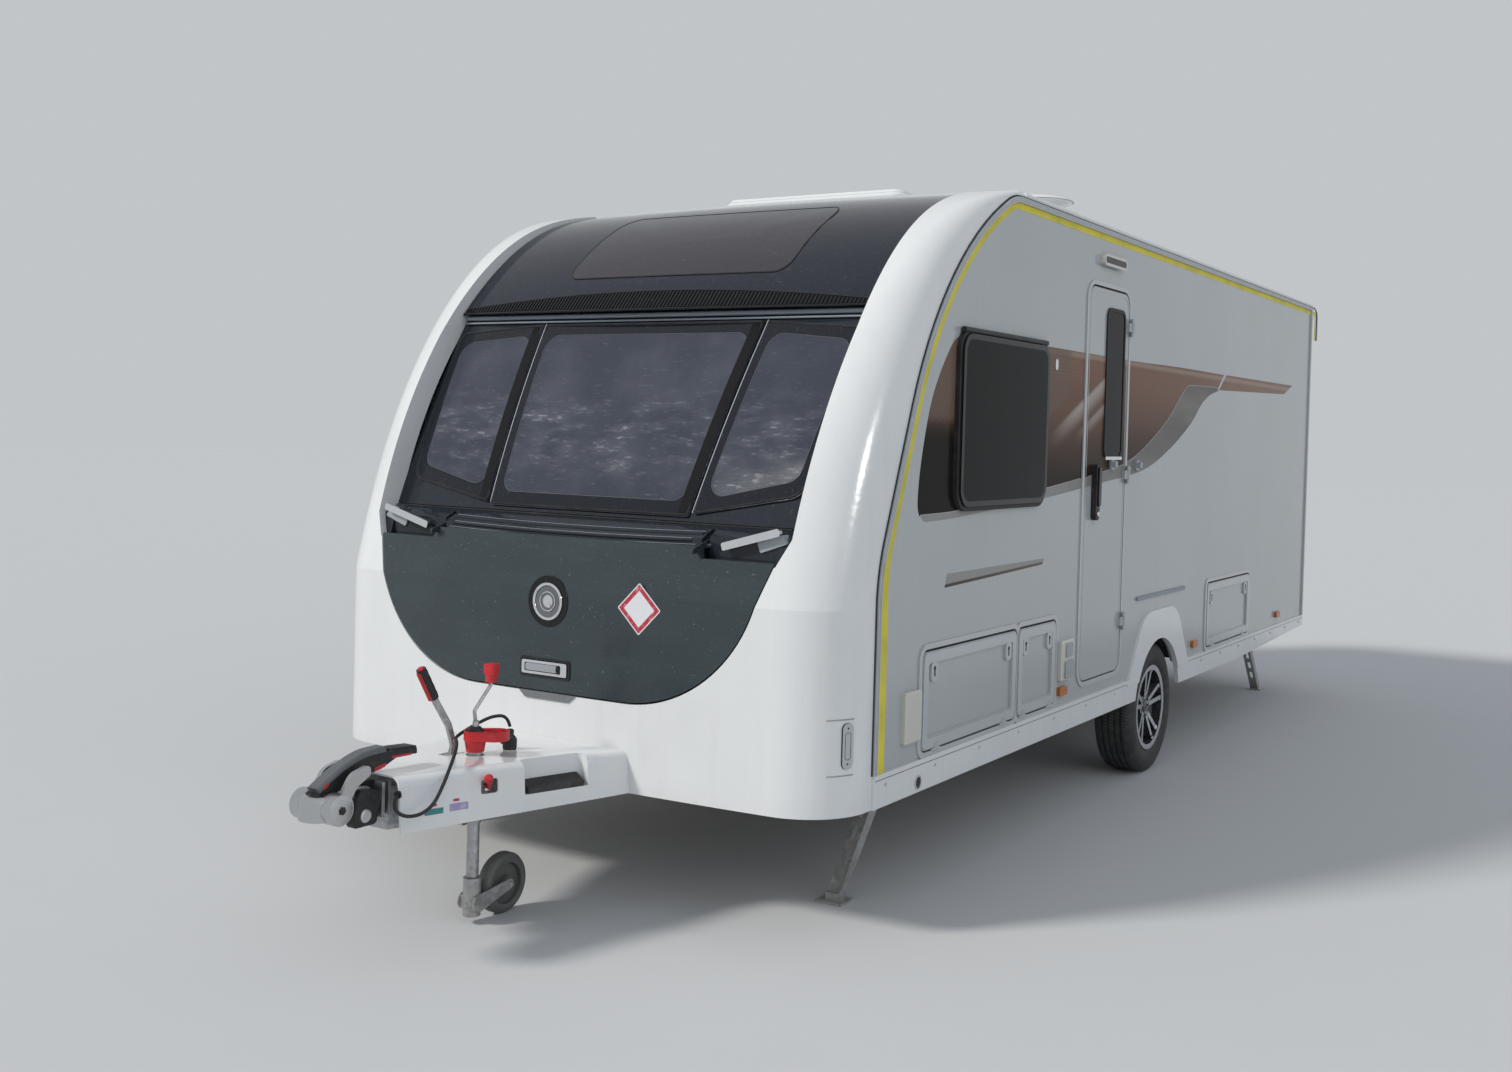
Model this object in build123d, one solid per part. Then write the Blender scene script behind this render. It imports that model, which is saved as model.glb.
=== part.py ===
from build123d import *
from math import cos, sin, tan, atan2, radians, degrees, hypot, pi
import os

os.makedirs("parts", exist_ok=True)

# A travel caravan standing on its wheels, jockey wheel and corner steadies, in millimetres.
# X is across with the door side at +X, Y runs from the hitch at -Y to the rear, Z is up from the ground.

# Body
body_width = 2260.0
wall_thickness = 30.0
wall_bottom_z = 509.0
wall_top_z = 2545.0
seam_y = -2400.0
rear_y = 3710.0
rear_cap_depth = 150.0
rear_corner_radius = 110.0
skirt_bottom_z = 398.0
skirt_rise_y = 2010.0
skirt_rear_z = 441.0
floor_bottom_z = 525.0
floor_thickness = 45.0

# Roof
roof_edge = 30.0
roof_crown = 15.0
roof_joint_y = -1322.0

# Front moulding: the seam line's corners, and how far the moulding stands in front of it
knee_z = 1169.0
knee_radius = 600.0
brow_y = -1977.5
brow_z = 2269.5
brow_radius = 1450.0
crest_y = -1386.9
crest_radius = 260.0
nose_depth = 250.0
nose_crown = 50.0
moulding_thickness = 22.0
arch_depth = 88.0
arch_flange = 20.0
section_count = 5

# Front aperture and what fills it
aperture_low_half = body_width / 2 - 200.0
aperture_high_half = body_width / 2 - 172.0
aperture_high_z = 1980.0
lid_top_z = 1236.0
lid_bottom_z = 700.0
lid_top_half = body_width / 2 - 250.0
lid_bottom_half = lid_top_half - 180.0
lid_corner_radius = 520.0
lid_notch_half = lid_top_half - 288.0
lid_notch_z = 1198.0
lid_gap = 6.0
lid_axis_y = -2560.0
lid_axis_z = 1250.0
lid_arm_end_y = -2668.0
lid_arm_end_z = 1222.0
panel_dip = 45.0
panel_thickness = 12.0
panel_bottom_z = 2062.0

# Front windows, leaning back in one row
glass_low_y = -2521.0
glass_low_z = 1306.0
glass_high_y = -2143.0
glass_high_z = 2032.0
glass_bulge = 14.0
glass_thickness = 8.0
glass_gap = 0.34
inner_panel_thickness = 20.0
shelf_front_z = 1206.0
shelf_front_y = -2720.0
shelf_bottom_z = 1185.0
recess_floor = 12.0
recess_back_y = -2590.0
handle_end_gap = 23.0
handle_reach = 32.0
handle_z = (1222.0, 1246.0)

# Doors
leaf_gap = 6.0
leaf_top_gap = 9.0
leaf_proud = 4.0
frame_width = 22.0
frame_proud = 6.0
door_corner_radius = 62.0
locker_corner_radius = 28.0
locker_rim = 46.0
locker_recess = 6.0

# Wheels
wheel_y = 530.0
tyre_radius = 317.0
tyre_width = 195.0
tyre_outer_x = body_width / 2 - 18.0
bead_radius = 191.0
rim_flange_radius = 207.5
rim_wall = 7.0
arch_opening_radius = 345.0
box_inner_x = body_width / 2 - 262.0
box_clearance = 39.0
box_wall = 12.0
spoke_count = 5
hub_radius = 62.0
stub_radius = 20.0
fit_gap = 0.05

# Skirt
skirt_outer_x = body_width / 2 + 8.0
skirt_inner_x = body_width / 2 - 12.0
arch_trim_outer_x = body_width / 2 + 13.0

# Chassis
rail_x = body_width / 2 - 625.0
rail_height = 130.0
rail_flange = 50.0
rail_thickness = 6.0
rail_top_z = floor_bottom_z
frame_front_y = -3476.0
frame_front_x = 60.0
frame_bend_y = -2000.0
rail_end_y = 3560.0
cross_member_ys = (frame_bend_y, 700.0, 1900.0, 3120.0, 3500.0)
cross_member_width = 40.0
cross_member_height = 90.0
axle_y = 362.0
axle_z = 345.0
axle_radius = 48.0

# Fairing over the A-frame
fairing_front_half = 120.0
fairing_rear_half = 388.0
fairing_front_top_z = 556.0
fairing_rear_top_z = 541.0
fairing_front_bottom_z = 387.0
fairing_rear_bottom_z = 400.0
fairing_wall = 6.0
fairing_rear_y = -2640.0

# Jockey wheel
jockey_x = 38.0
jockey_y = -3082.0
jockey_wheel_y = -2942.0
jockey_wheel_radius = 100.0
jockey_wheel_width = 52.0
jockey_tube_radius = 24.0
jockey_leg_radius = 20.0
jockey_pivot_z = 150.0

collar_radius = 38.0
collar_low_z = 560.0
collar_high_z = 612.0
ring_x = 92.0
ring_y = -3046.0
ring_radius = 44.0
ring_wall = 9.0
ring_high_z = 628.0

# Steps in the fairing's shoulders, beside its slanted side walls
step_x = 285.0
step_y = -2960.0
step_half = 118.0
step_depth = 58.0
step_floor_z = 446.0
step_pad_rise = 38.0
step_corner_radius = 24.0
fairing_slant = degrees(atan2(fairing_rear_half - fairing_front_half, fairing_rear_y - frame_front_y))

# Jockey clamp: its lever comes out of a slot in the fairing's door side
clamp_z = 462.0
clamp_slot = (206.0, -3190.0, 490.0)
clamp_knob = (222.0, -3214.0, 520.0)
clamp_knob_radius = 15.0

# Tow cable, from its gland in the fairing's front round the jockey collar to the plug on the fairing
cable_radius = 5.5
cable_route = [
    (108, -3482, 504), (126, -3520, 484), (150, -3508, 452), (166, -3454, 444), (176, -3404, 466), (178, -3366, 520),
    (160, -3318, 568), (118, -3252, 600), (60, -3188, 610), (8, -3144, 608), (-16, -3090, 614), (-8, -3034, 634),
    (26, -2990, 660), (56, -2952, 658), (60, -2944, 622),
]
plug_x = 60.0
plug_y = -2943.0
plug_radius = 22.0

# Coupling
ball_y = -3675.0
ball_z = 492.0
ball_radius = 25.0
nose_radius = 65.0
disc_x = 84.0
disc_radius = 46.0

# Corner steadies
steady_x = body_width / 2 - 250.0
steady_pivot_z = 372.0
steady_pin_radius = 9.0
steady_ear_half = 45.0
steady_front_pivot_y = -1885.0
steady_front_foot_y = -2182.0
steady_rear_pivot_y = 3120.0
steady_rear_foot_y = 3417.0

# Hinges: pins, knuckles and the clearance beside them
pin_radius = 4.0
knuckle_radius = 9.0
knuckle_length = 20.0
door_axis_y = -47.0
door_axis_proud = 20.0
door_hinge_heights = (760.0, 1430.0, 2100.0)
door_strap_reach = 38.0
locker_pin_radius = 2.0
locker_knuckle_radius = 5.0
locker_knuckle_length = 16.0
locker_axis_drop = 5.0
locker_hinge_shares = (0.14, 0.86)
locker_strap_height = 24.0
lid_pin_radius = 5.0
lid_eye_radius = 13.0
lid_arm_thickness = 8.0
lid_arm_clearance = 6.0

# Seats between pieces that don't touch
seat_gap = 0.3

# How far a cut reaches past what it cuts
overshoot = 200.0

half = body_width / 2
wall_inner_x = half - wall_thickness
rear_joint_y = rear_y - rear_cap_depth
floor_top_z = floor_bottom_z + floor_thickness
rail_bottom_z = rail_top_z - rail_height
wheel_z = tyre_radius
wheel_x = tyre_outer_x - tyre_width / 2
lean = atan2(brow_y - seam_y, brow_z - knee_z)
bend_z = knee_z - knee_radius * tan(lean / 2)
door_axis_x = half + door_axis_proud
locker_axis_x = half + frame_proud


def save(node, shape):
    """Writes one piece to its own file."""
    shape.label = node
    export_step(shape, f"parts/{node}.step")


def block(x, y, z):
    """A box from its low and high coordinates on each axis."""
    size = (x[1] - x[0], y[1] - y[0], z[1] - z[0])
    return Pos(x[0], y[0], z[0]) * Box(*size, align=(Align.MIN, Align.MIN, Align.MIN))


def rounded_outline(points, radii):
    """A closed outline in a plane, with one radius for each corner."""
    face = make_face(Polyline(*points, close=True))
    for (u, v), radius in zip(points, radii):
        if radius:
            corner = face.vertices().sort_by_distance((u, v, 0))[0]
            face = fillet(corner, radius)
    return face


def from_side(face, x_low, x_high):
    """Extrudes a face drawn in (y, z) across the caravan."""
    return extrude(Plane(origin=(x_low, 0, 0), x_dir=(0, 1, 0), z_dir=(1, 0, 0)) * face, x_high - x_low)


def from_front(face, y_low, y_high):
    """Extrudes a face drawn in (x, z) along the caravan."""
    return extrude(Plane(origin=(0, y_low, 0), x_dir=(1, 0, 0), z_dir=(0, -1, 0)) * face, -(y_high - y_low))


def from_above(face, z_low, z_high):
    """Extrudes a face drawn in (x, y) upwards."""
    return extrude(Plane(origin=(0, 0, z_low)) * face, z_high - z_low)


def rounded_box_face(u, v, radius):
    """A rectangle with equal corner radii, from its low and high coordinates."""
    face = RectangleRounded(u[1] - u[0], v[1] - v[0], radius)
    return Pos((u[0] + u[1]) / 2, (v[0] + v[1]) / 2) * face


def cross_tube(radius, y, z, x_low, x_high):
    """A cylinder whose axis runs across the caravan."""
    return extrude(Plane(origin=(x_low, y, z), z_dir=(1, 0, 0)) * Circle(radius), x_high - x_low)


def upright_tube(radius, x, y, z_low, z_high):
    """A cylinder whose axis is vertical."""
    return extrude(Plane(origin=(x, y, z_low)) * Circle(radius), z_high - z_low)


def mirrored(shape):
    """The same piece on the other side of the caravan."""
    return mirror(shape, about=Plane.YZ)


# Front moulding and roof: one cross-section, carried along the seam line
def seam_line():
    """The joint between the front moulding and the side walls, from the skirt to the roof joint."""
    corners = [(seam_y, knee_z), (brow_y, brow_z), (crest_y, wall_top_z)]
    points = [(0, seam_y, skirt_bottom_z)] + [(0, y, z) for y, z in corners] + [(0, roof_joint_y, wall_top_z)]
    return FilletPolyline(*points, radius=[knee_radius, brow_radius, crest_radius])


seam = seam_line()


def cap_section(share, dip, inset, below):
    """The moulding's outline square to the seam line, at a share of the way from the bend to the roof."""
    distance = (bend_z - skirt_bottom_z) + share * (seam.length - (bend_z - skirt_bottom_z))
    depth = roof_edge + (nose_depth - roof_edge) * (1 - share ** 1.5)
    crown = nose_crown + (roof_crown - nose_crown) * share
    height = depth - inset - dip * min(1, depth / 150)
    width = half - inset
    corner = max(min(height * 0.94, depth - 8 - inset), 2)
    sides = Polyline((-width, height), (-width, -below), (width, -below), (width, height))
    face = make_face([*sides.edges(), ThreePointArc((-width, height), (0, height + crown), (width, height))])
    face = fillet(face.vertices().sort_by(Axis.Y)[-2:], corner)
    at = distance / seam.length
    return Plane(origin=seam @ at, x_dir=(-1, 0, 0), z_dir=seam % at) * face


def cap(dip=0.0, inset=0.0, below=60.0):
    """The whole front end as a solid, reaching a little behind the seam line."""
    sections = [cap_section(i / section_count, dip, inset, below) for i in range(section_count + 1)]
    lower = extrude(sections[0], skirt_bottom_z - bend_z)
    return lower + loft(sections)


def behind_seam():
    """Everything behind the seam line, over the whole width."""
    edges = [
        *seam.edges(),
        *Polyline((0, roof_joint_y, wall_top_z), (0, 0, wall_top_z), (0, 0, 0), (0, seam_y, 0),
                  (0, seam_y, skirt_bottom_z)).edges(),
    ]
    return extrude(Pos(-half - 100, 0, 0) * make_face(edges), body_width + 200, dir=(1, 0, 0))


def lid_outline(gap):
    """The gas locker lid seen from the front, with notches under the grab handles."""
    points = [
        (-lid_notch_half, lid_top_z), (-lid_notch_half - 12, lid_notch_z), (-lid_top_half, lid_notch_z),
        (-lid_bottom_half, lid_bottom_z), (lid_bottom_half, lid_bottom_z),
        (lid_top_half, lid_notch_z), (lid_notch_half + 12, lid_notch_z), (lid_notch_half, lid_top_z),
    ]
    face = rounded_outline(points, [0, 0, 0, lid_corner_radius, lid_corner_radius, 0, 0, 0])
    return offset(face, gap, kind=Kind.INTERSECTION) if gap else face


def aperture():
    """The opening in the white moulding for lid, shelf, windows and upper panel."""
    points = [
        (-lid_top_half, lid_notch_z), (-lid_bottom_half, lid_bottom_z),
        (lid_bottom_half, lid_bottom_z), (lid_top_half, lid_notch_z),
    ]
    low = offset(rounded_outline(points, [0, lid_corner_radius, lid_corner_radius, 0]), lid_gap,
                 kind=Kind.INTERSECTION)
    high = make_face(Polyline(
        (-lid_top_half - lid_gap, lid_notch_z - 12), (-aperture_low_half, lid_top_z + 40),
        (-aperture_high_half, aperture_high_z), (-aperture_high_half, wall_top_z + 200),
        (aperture_high_half, wall_top_z + 200), (aperture_high_half, aperture_high_z),
        (aperture_low_half, lid_top_z + 40), (lid_top_half + lid_gap, lid_notch_z - 12), close=True))
    return low + high


seam_back = behind_seam()
cap_outer = cap()
aperture_face = aperture()


def front_moulding():
    shell = cap_outer - cap(inset=moulding_thickness)
    band = from_front(offset(aperture_face, arch_flange, kind=Kind.INTERSECTION), -2900, roof_joint_y)
    flange = (cap_outer & band) - cap(inset=arch_depth, below=200)
    notch = block((-352, 352), (-2800, seam_y - 60), (0, rail_top_z + 2))
    return shell + flange - from_front(aperture_face, -2900, -1000) - seam_back - notch


def front_upper_panel():
    top = aperture_high_half - 4
    region = make_face(Polyline((-top, panel_bottom_z), (-top, 2900), (top, 2900), (top, panel_bottom_z), close=True))
    shell = cap(dip=panel_dip) - cap(dip=panel_dip, inset=panel_thickness)
    return (shell & from_front(region, -2900, roof_joint_y)) - seam_back


def gas_locker_lid():
    shell = cap(inset=2) - cap(inset=moulding_thickness)
    lid = shell & from_front(lid_outline(0), -2900, seam_y - 20)
    hull = make_hull([*(Pos(lid_axis_y, lid_axis_z) * Circle(lid_eye_radius)).edges(),
                      *(Pos(lid_arm_end_y, lid_arm_end_z) * Circle(lid_eye_radius - 4)).edges()])
    arm = from_side(hull, lid_notch_half - lid_arm_thickness, lid_notch_half)
    arm -= cross_tube(lid_pin_radius + fit_gap, lid_axis_y, lid_axis_z, 0, half)
    return lid + arm + mirrored(arm)


def glass_face(back, thickness):
    """The windows' section in (y, z), a shallow arc leaning back, moved back and given a thickness."""
    middle_y = (glass_low_y + glass_high_y) / 2 - glass_bulge
    middle_z = (glass_low_z + glass_high_z) / 2 + glass_bulge / 2
    front = [(glass_low_y, glass_low_z), (middle_y, middle_z), (glass_high_y, glass_high_z)]
    a = [(y + back, z) for y, z in front]
    b = [(y + back + thickness, z) for y, z in front]
    return make_face([ThreePointArc(*a), Line(a[2], b[2]), ThreePointArc(*b), Line(b[0], a[0])])


# Front windows: name, then the corners in (x, z) and their radii
def window_outlines(inset):
    middle = [(-452, 1322), (-511, 2020), (511, 2020), (452, 1322)]
    left = [(-887, 1408), (-941, 1990), (-525, 2020), (-466, 1330)]
    right = [(-x, z) for x, z in reversed(left)]
    faces = []
    for points, radii in ((left, (60, 30, 12, 12)), (middle, (12, 12, 12, 12)), (right, (12, 12, 30, 60))):
        face = rounded_outline(points, radii)
        faces.append(offset(face, -inset) if inset else face)
    return faces


def front_windows():
    slab = from_side(glass_face(0, glass_thickness), -950, 950)
    return Compound(children=[slab & from_front(face, -2700, -2000) for face in window_outlines(0)])


def front_inner_panel():
    width = aperture_high_half + 20
    back = glass_thickness + glass_gap
    slab = from_side(glass_face(back, inner_panel_thickness), -width, width)
    rise = panel_bottom_z + 40 - glass_high_z
    run = rise * (glass_high_y - glass_low_y) / (glass_high_z - glass_low_z)
    top = make_face(Polyline((glass_high_y + back, glass_high_z), (glass_high_y + back + run, glass_high_z + rise),
                             (glass_high_y + back + run + inner_panel_thickness, glass_high_z + rise),
                             (glass_high_y + back + inner_panel_thickness, glass_high_z), close=True))
    slab = (slab + from_side(top, -width, width)) & from_front(aperture_face, -2900, -1000)
    for face in window_outlines(48):
        slab -= from_front(face, -2700, -2000)
    return slab


def front_shelf():
    """The sloped shelf between lid and windows, cut back at its ends for the grab handles."""
    back_y = glass_low_y + 6
    slope = [(shelf_front_y, shelf_bottom_z), (shelf_front_y, shelf_front_z), (back_y, glass_low_z - 2),
             (back_y, shelf_bottom_z)]
    region = from_side(make_face(Polyline(*slope, close=True)), -aperture_low_half, aperture_low_half)
    shelf = cap(inset=moulding_thickness + lid_gap, below=0) & region & from_front(aperture_face, -2900, -2000)
    slot_x = lid_notch_half - lid_arm_thickness - lid_arm_clearance
    slot_end_x = lid_notch_half + lid_arm_clearance
    slot_back_y = lid_axis_y + lid_eye_radius + lid_arm_clearance
    for side in (-1, 1):
        recess = block((slot_x, lid_top_half - 12), (shelf_front_y - overshoot, recess_back_y),
                       (shelf_bottom_z + recess_floor, glass_low_z + overshoot))
        slot = block((slot_x, slot_end_x), (recess_back_y, slot_back_y),
                     (shelf_bottom_z + recess_floor, glass_low_z + overshoot))
        pin = cross_tube(lid_pin_radius, lid_axis_y, lid_axis_z, slot_x - 10, lid_notch_half + 2)
        cut = recess + slot
        shelf = shelf - (cut if side > 0 else mirrored(cut)) + (pin if side > 0 else mirrored(pin))
    return shelf


def grab_handles():
    """Two chrome bars, each on two posts that stand on the back wall of its recess."""
    bars = []
    inner = lid_notch_half + handle_end_gap
    outer = lid_top_half - handle_end_gap
    front = recess_back_y - handle_reach
    for side in (-1, 1):
        path = FilletPolyline((side * inner, recess_back_y, handle_z[0]), (side * inner, front, handle_z[0]),
                              (side * outer, front, handle_z[1]), (side * outer, recess_back_y, handle_z[1]),
                              radius=[14, 14])
        bars.append(sweep(Plane(origin=path @ 0, x_dir=(1, 0, 0), z_dir=path % 0) * RectangleRounded(14, 22, 5), path))
    return Compound(children=bars)


def gas_locker_box():
    """Floor, bulkhead and top of the gas locker, between the moulding and the cabin."""
    back_y = seam_y + 250
    plan = cap_section(0, 0, moulding_thickness + seat_gap, 250)
    width = wall_inner_x - seat_gap
    lower = extrude(plan, floor_bottom_z - bend_z) & block((-width, width), (-3000, back_y + 20),
                                                           (floor_bottom_z, floor_bottom_z + 20))
    bulkhead = block((-width, width), (back_y - 20, back_y), (floor_bottom_z, 1240))
    return lower + bulkhead


# Body shell
def rear_outline(inset):
    """The rear end as a solid with rounded corners, moved in from its outside."""
    radius = rear_corner_radius - inset
    width = half - inset
    back = rear_y - inset
    front = rear_joint_y - 40
    crest = wall_top_z + roof_edge + roof_crown - inset
    side_face = rounded_outline([(front, 446), (back, 446), (back, crest), (front, crest)], [0, 30, radius, 0])
    plan_face = rounded_outline([(-width, front), (-width, back), (width, back), (width, front)],
                                [0, radius, radius, 0])
    edge = wall_top_z + roof_edge - inset
    section = make_face([*Polyline((-width, edge), (-width, 300), (width, 300), (width, edge)).edges(),
                         ThreePointArc((-width, edge), (0, edge + roof_crown), (width, edge))])
    section = fillet(section.vertices().sort_by(Axis.Y)[-2:], 22)
    return from_side(side_face, -half, half) & from_above(plan_face, 300, 2700) & from_front(section, front, back)


def rear_panel():
    inner = rear_outline(wall_thickness) + block((-wall_inner_x, wall_inner_x), (3000, rear_y - wall_thickness),
                                                 (300, 1200))
    shell = rear_outline(0) - inner - block((-half, half), (0, rear_joint_y), (0, 3000))
    return shell - from_front(rounded_box_face((rear_glass_lap - rear_glass_half, rear_glass_half - rear_glass_lap),
                                               (rear_glass_z[0] + rear_glass_lap, rear_glass_z[1] - rear_glass_lap), 70),
                               rear_y - 100, rear_y + 50)


def roof_blank():
    return extrude(cap_section(1, 0, 0, 0), rear_joint_y - roof_joint_y, dir=(0, 1, 0))


def roof_panel():
    return roof_blank() - block((-rooflight_half + 60, rooflight_half - 60), (rooflight_y[0] + 60, rooflight_y[1] - 60),
                        (wall_top_z - 50, wall_top_z + 200))


# Windows in the side walls: side (+1 door side), then low and high y and z
side_windows = [
    (1, -1850.0, -1037.0, 1364.0, 1998.0),
    (-1, -1850.0, -1037.0, 1364.0, 1998.0),
    (-1, -420.0, 480.0, 1440.0, 1990.0),
    (-1, 2450.0, 3050.0, 1500.0, 1960.0),
]

# Hinged doors in the door side wall: name, then low and high y and z of the leaf, and its corner radius
doors = [
    ("entrance_door", -561.0, -55.0, 582.0, 2287.0, door_corner_radius),
    ("locker_door_front", -2060.0, -1251.0, 531.0, 874.0, locker_corner_radius),
    ("locker_door_middle", -1232.0, -843.0, 531.0, 874.0, locker_corner_radius),
    ("locker_door_rear", 1332.0, 2187.0, 532.0, 871.0, locker_corner_radius),
]
door_window = (-342.0, -121.0, 1549.0, 2204.0)
rooflight_half = 480.0
rooflight_y = (-1055.0, -400.0)
aerial_inset = 370.0

# Rear fittings
lamp_inset = 130.0
lamp_half = 60.0
lamp_z = (660.0, 1120.0)
rear_glass_half = 560.0
rear_glass_z = (1440.0, 2100.0)
rear_glass_lap = 40.0


def leaf_face(door, gap):
    """A door's outline in (y, z), widened by a gap all round and a little more at the top."""
    name, y0, y1, z0, z1, radius = door
    top = leaf_top_gap if gap else 0
    return rounded_box_face((y0 - gap, y1 + gap), (z0 - gap, z1 + max(gap, top)), radius + gap)


def wall_blank():
    """One side wall before its openings, from the seam line to the rear cap."""
    slab = seam_back & block((wall_inner_x, half), (seam_y, 0), (wall_bottom_z, wall_top_z))
    rear = block((wall_inner_x, half), (0, rear_joint_y), (wall_bottom_z, wall_top_z))
    return slab + rear - cross_tube(arch_opening_radius + 15, wheel_y, wheel_z, wall_inner_x - overshoot, half + overshoot)


def side_wall(side):
    wall = wall_blank()
    for at, y0, y1, z0, z1 in side_windows:
        if at == side:
            wall -= from_side(rounded_box_face((y0 + 35, y1 - 35), (z0 + 35, z1 - 35), 60), wall_inner_x - overshoot, half + overshoot)
    if side > 0:
        for door in doors:
            wall -= from_side(leaf_face(door, leaf_gap), wall_inner_x - overshoot, half + overshoot)
    return wall if side > 0 else mirrored(wall)


def side_window_panes():
    """Bulged acrylic panes that stand proud of the walls."""
    panes = []
    for side, y0, y1, z0, z1 in side_windows:
        outer = from_side(rounded_box_face((y0, y1), (z0, z1), 75), half, half + 26)
        outer = chamfer(outer.faces().sort_by(Axis.X)[-1].edges(), 12)
        panes.append(outer if side > 0 else mirrored(outer))
    return Compound(children=panes)


def opening_frames():
    """Raised frames round the door openings."""
    above = rounded_box_face((seam_y, rear_joint_y), (wall_bottom_z + seat_gap, wall_top_z - 60), 5)
    face = Sketch() + [leaf_face(door, leaf_gap + frame_width) for door in doors]
    face = (face & above) - [leaf_face(door, leaf_gap) for door in doors]
    frames = from_side(face, half, half + frame_proud)
    for z in door_hinge_heights:
        for low in (z, z + 3 * knuckle_length + 2 * seat_gap):
            frames += upright_tube(knuckle_radius, door_axis_x, door_axis_y, low, low + knuckle_length)
            frames += block((half + frame_proud, door_axis_x), (door_axis_y, door_axis_y + frame_width - 2),
                            (low, low + knuckle_length))
        frames += upright_tube(pin_radius, door_axis_x, door_axis_y, z, z + 4 * knuckle_length + 2 * seat_gap)
    for door in doors[1:]:
        for y, z in locker_hinges(door):
            length = locker_knuckle_length
            frames -= locker_barrel(locker_knuckle_radius + 1, y - length - seat_gap, y + length + seat_gap, z)
            for low in (y - 2 * length, y + length + seat_gap):
                frames += locker_barrel(locker_knuckle_radius, low, low + length - seat_gap, z)
            frames += locker_barrel(locker_pin_radius, y - 2 * length, y + 2 * length, z)
    return frames


def locker_hinges(door):
    """Where a locker's two hinges are: the middle of each along Y, and its axis height."""
    name, y0, y1, z0, z1, radius = door
    return [(y0 + share * (y1 - y0), z0 - locker_axis_drop) for share in locker_hinge_shares]


def locker_barrel(radius, y_low, y_high, z):
    """A cylinder on a locker's hinge axis, which runs along the caravan."""
    return extrude(Plane(origin=(locker_axis_x, y_low, z), z_dir=(0, 1, 0)) * Circle(radius), y_high - y_low)


def door_straps():
    """The entrance door's half of its hinges: a knuckle on each pin and a strap on the leaf."""
    straps = []
    leaf_x = half + leaf_proud
    for z in door_hinge_heights:
        low = z + knuckle_length + seat_gap
        high = low + 2 * knuckle_length
        strap = upright_tube(knuckle_radius, door_axis_x, door_axis_y, low, high)
        strap += block((leaf_x + 4, door_axis_x), (door_axis_y - door_strap_reach, door_axis_y), (low, high))
        strap += block((leaf_x, leaf_x + 5), (door_axis_y - door_strap_reach, door_axis_y - 10), (low, high))
        straps.append(strap - upright_tube(pin_radius + fit_gap, door_axis_x, door_axis_y, low - 1, high + 1))
    return straps


def locker_straps(door):
    """A locker door's half of its hinges."""
    straps = []
    for y, z in locker_hinges(door):
        low = y - locker_knuckle_length
        high = y + locker_knuckle_length
        strap = locker_barrel(locker_knuckle_radius, low, high, z)
        strap += block((half + leaf_proud, half + leaf_proud + 6), (low, high), (z, z + locker_strap_height))
        straps.append(strap - locker_barrel(locker_pin_radius + fit_gap, low - 1, high + 1, z))
    return straps


def door_leaf(door):
    leaf = from_side(leaf_face(door, 0), wall_inner_x + 4, half + leaf_proud)
    if door[0] == "entrance_door":
        y0, y1, z0, z1 = door_window
        leaf -= from_side(rounded_box_face((y0 + 14, y1 - 14), (z0 + 14, z1 - 14), 30),
                          wall_inner_x - overshoot, half + overshoot)
        return leaf + door_straps()
    name, y0, y1, z0, z1, radius = door
    recess = rounded_box_face((y0 + locker_rim, y1 - locker_rim), (z0 + locker_rim, z1 - locker_rim), 8)
    leaf -= from_side(recess, half + leaf_proud - locker_recess, half + overshoot)
    return leaf + locker_straps(door)


def entrance_door_window():
    y0, y1, z0, z1 = door_window
    return from_side(rounded_box_face((y0, y1), (z0, z1), 40), half + leaf_proud, half + leaf_proud + 5)


def awning_rails():
    """A rail round each side wall's edge, from the skirt up the seam, along the roof and down the rear."""
    outline = seam_back & block((half, half + 10), (seam_y, 0), (wall_bottom_z, wall_top_z))
    outline = outline + block((half, half + 10), (0, rear_joint_y), (wall_bottom_z, wall_top_z))
    face = outline.faces().sort_by(Axis.X)[-1]
    band = face - offset(face, -20, kind=Kind.INTERSECTION)
    rail = extrude(band, -9.6, dir=(1, 0, 0)) - block((half, half + 20), (seam_y + 20, rear_joint_y - 20), (0, 1200))
    return Compound(children=[rail, mirrored(rail)])


def side_skirt(side):
    """The white skirt below the wall, with the raised moulding round the wheel arch."""
    low = from_side(make_face(Polyline((seam_y, skirt_bottom_z), (skirt_rise_y, skirt_bottom_z), (rear_joint_y, skirt_rear_z),
                                       (rear_joint_y, wall_bottom_z), (seam_y, wall_bottom_z), close=True)),
                    skirt_inner_x, skirt_outer_x)
    strip = block((skirt_inner_x, skirt_outer_x + 3), (seam_y, rear_joint_y), (wall_bottom_z - 16, wall_bottom_z))
    arch_points = [(63, 480), (281, 806), (794, 806), (1010, 480)]
    arch_face = rounded_outline(arch_points, [0, 220, 220, 0])
    arch = from_side(arch_face, half, arch_trim_outer_x)
    lip = cross_tube(arch_opening_radius + 14, wheel_y, wheel_z, skirt_inner_x, half + 4)
    lip = lip & block((0, half + overshoot), (0, wheel_y * 2), (wall_bottom_z - 20, 900))
    skirt = low + strip + arch + lip - cross_tube(arch_opening_radius, wheel_y, wheel_z, wall_inner_x - overshoot, half + overshoot)
    return skirt if side > 0 else mirrored(skirt)


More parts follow.
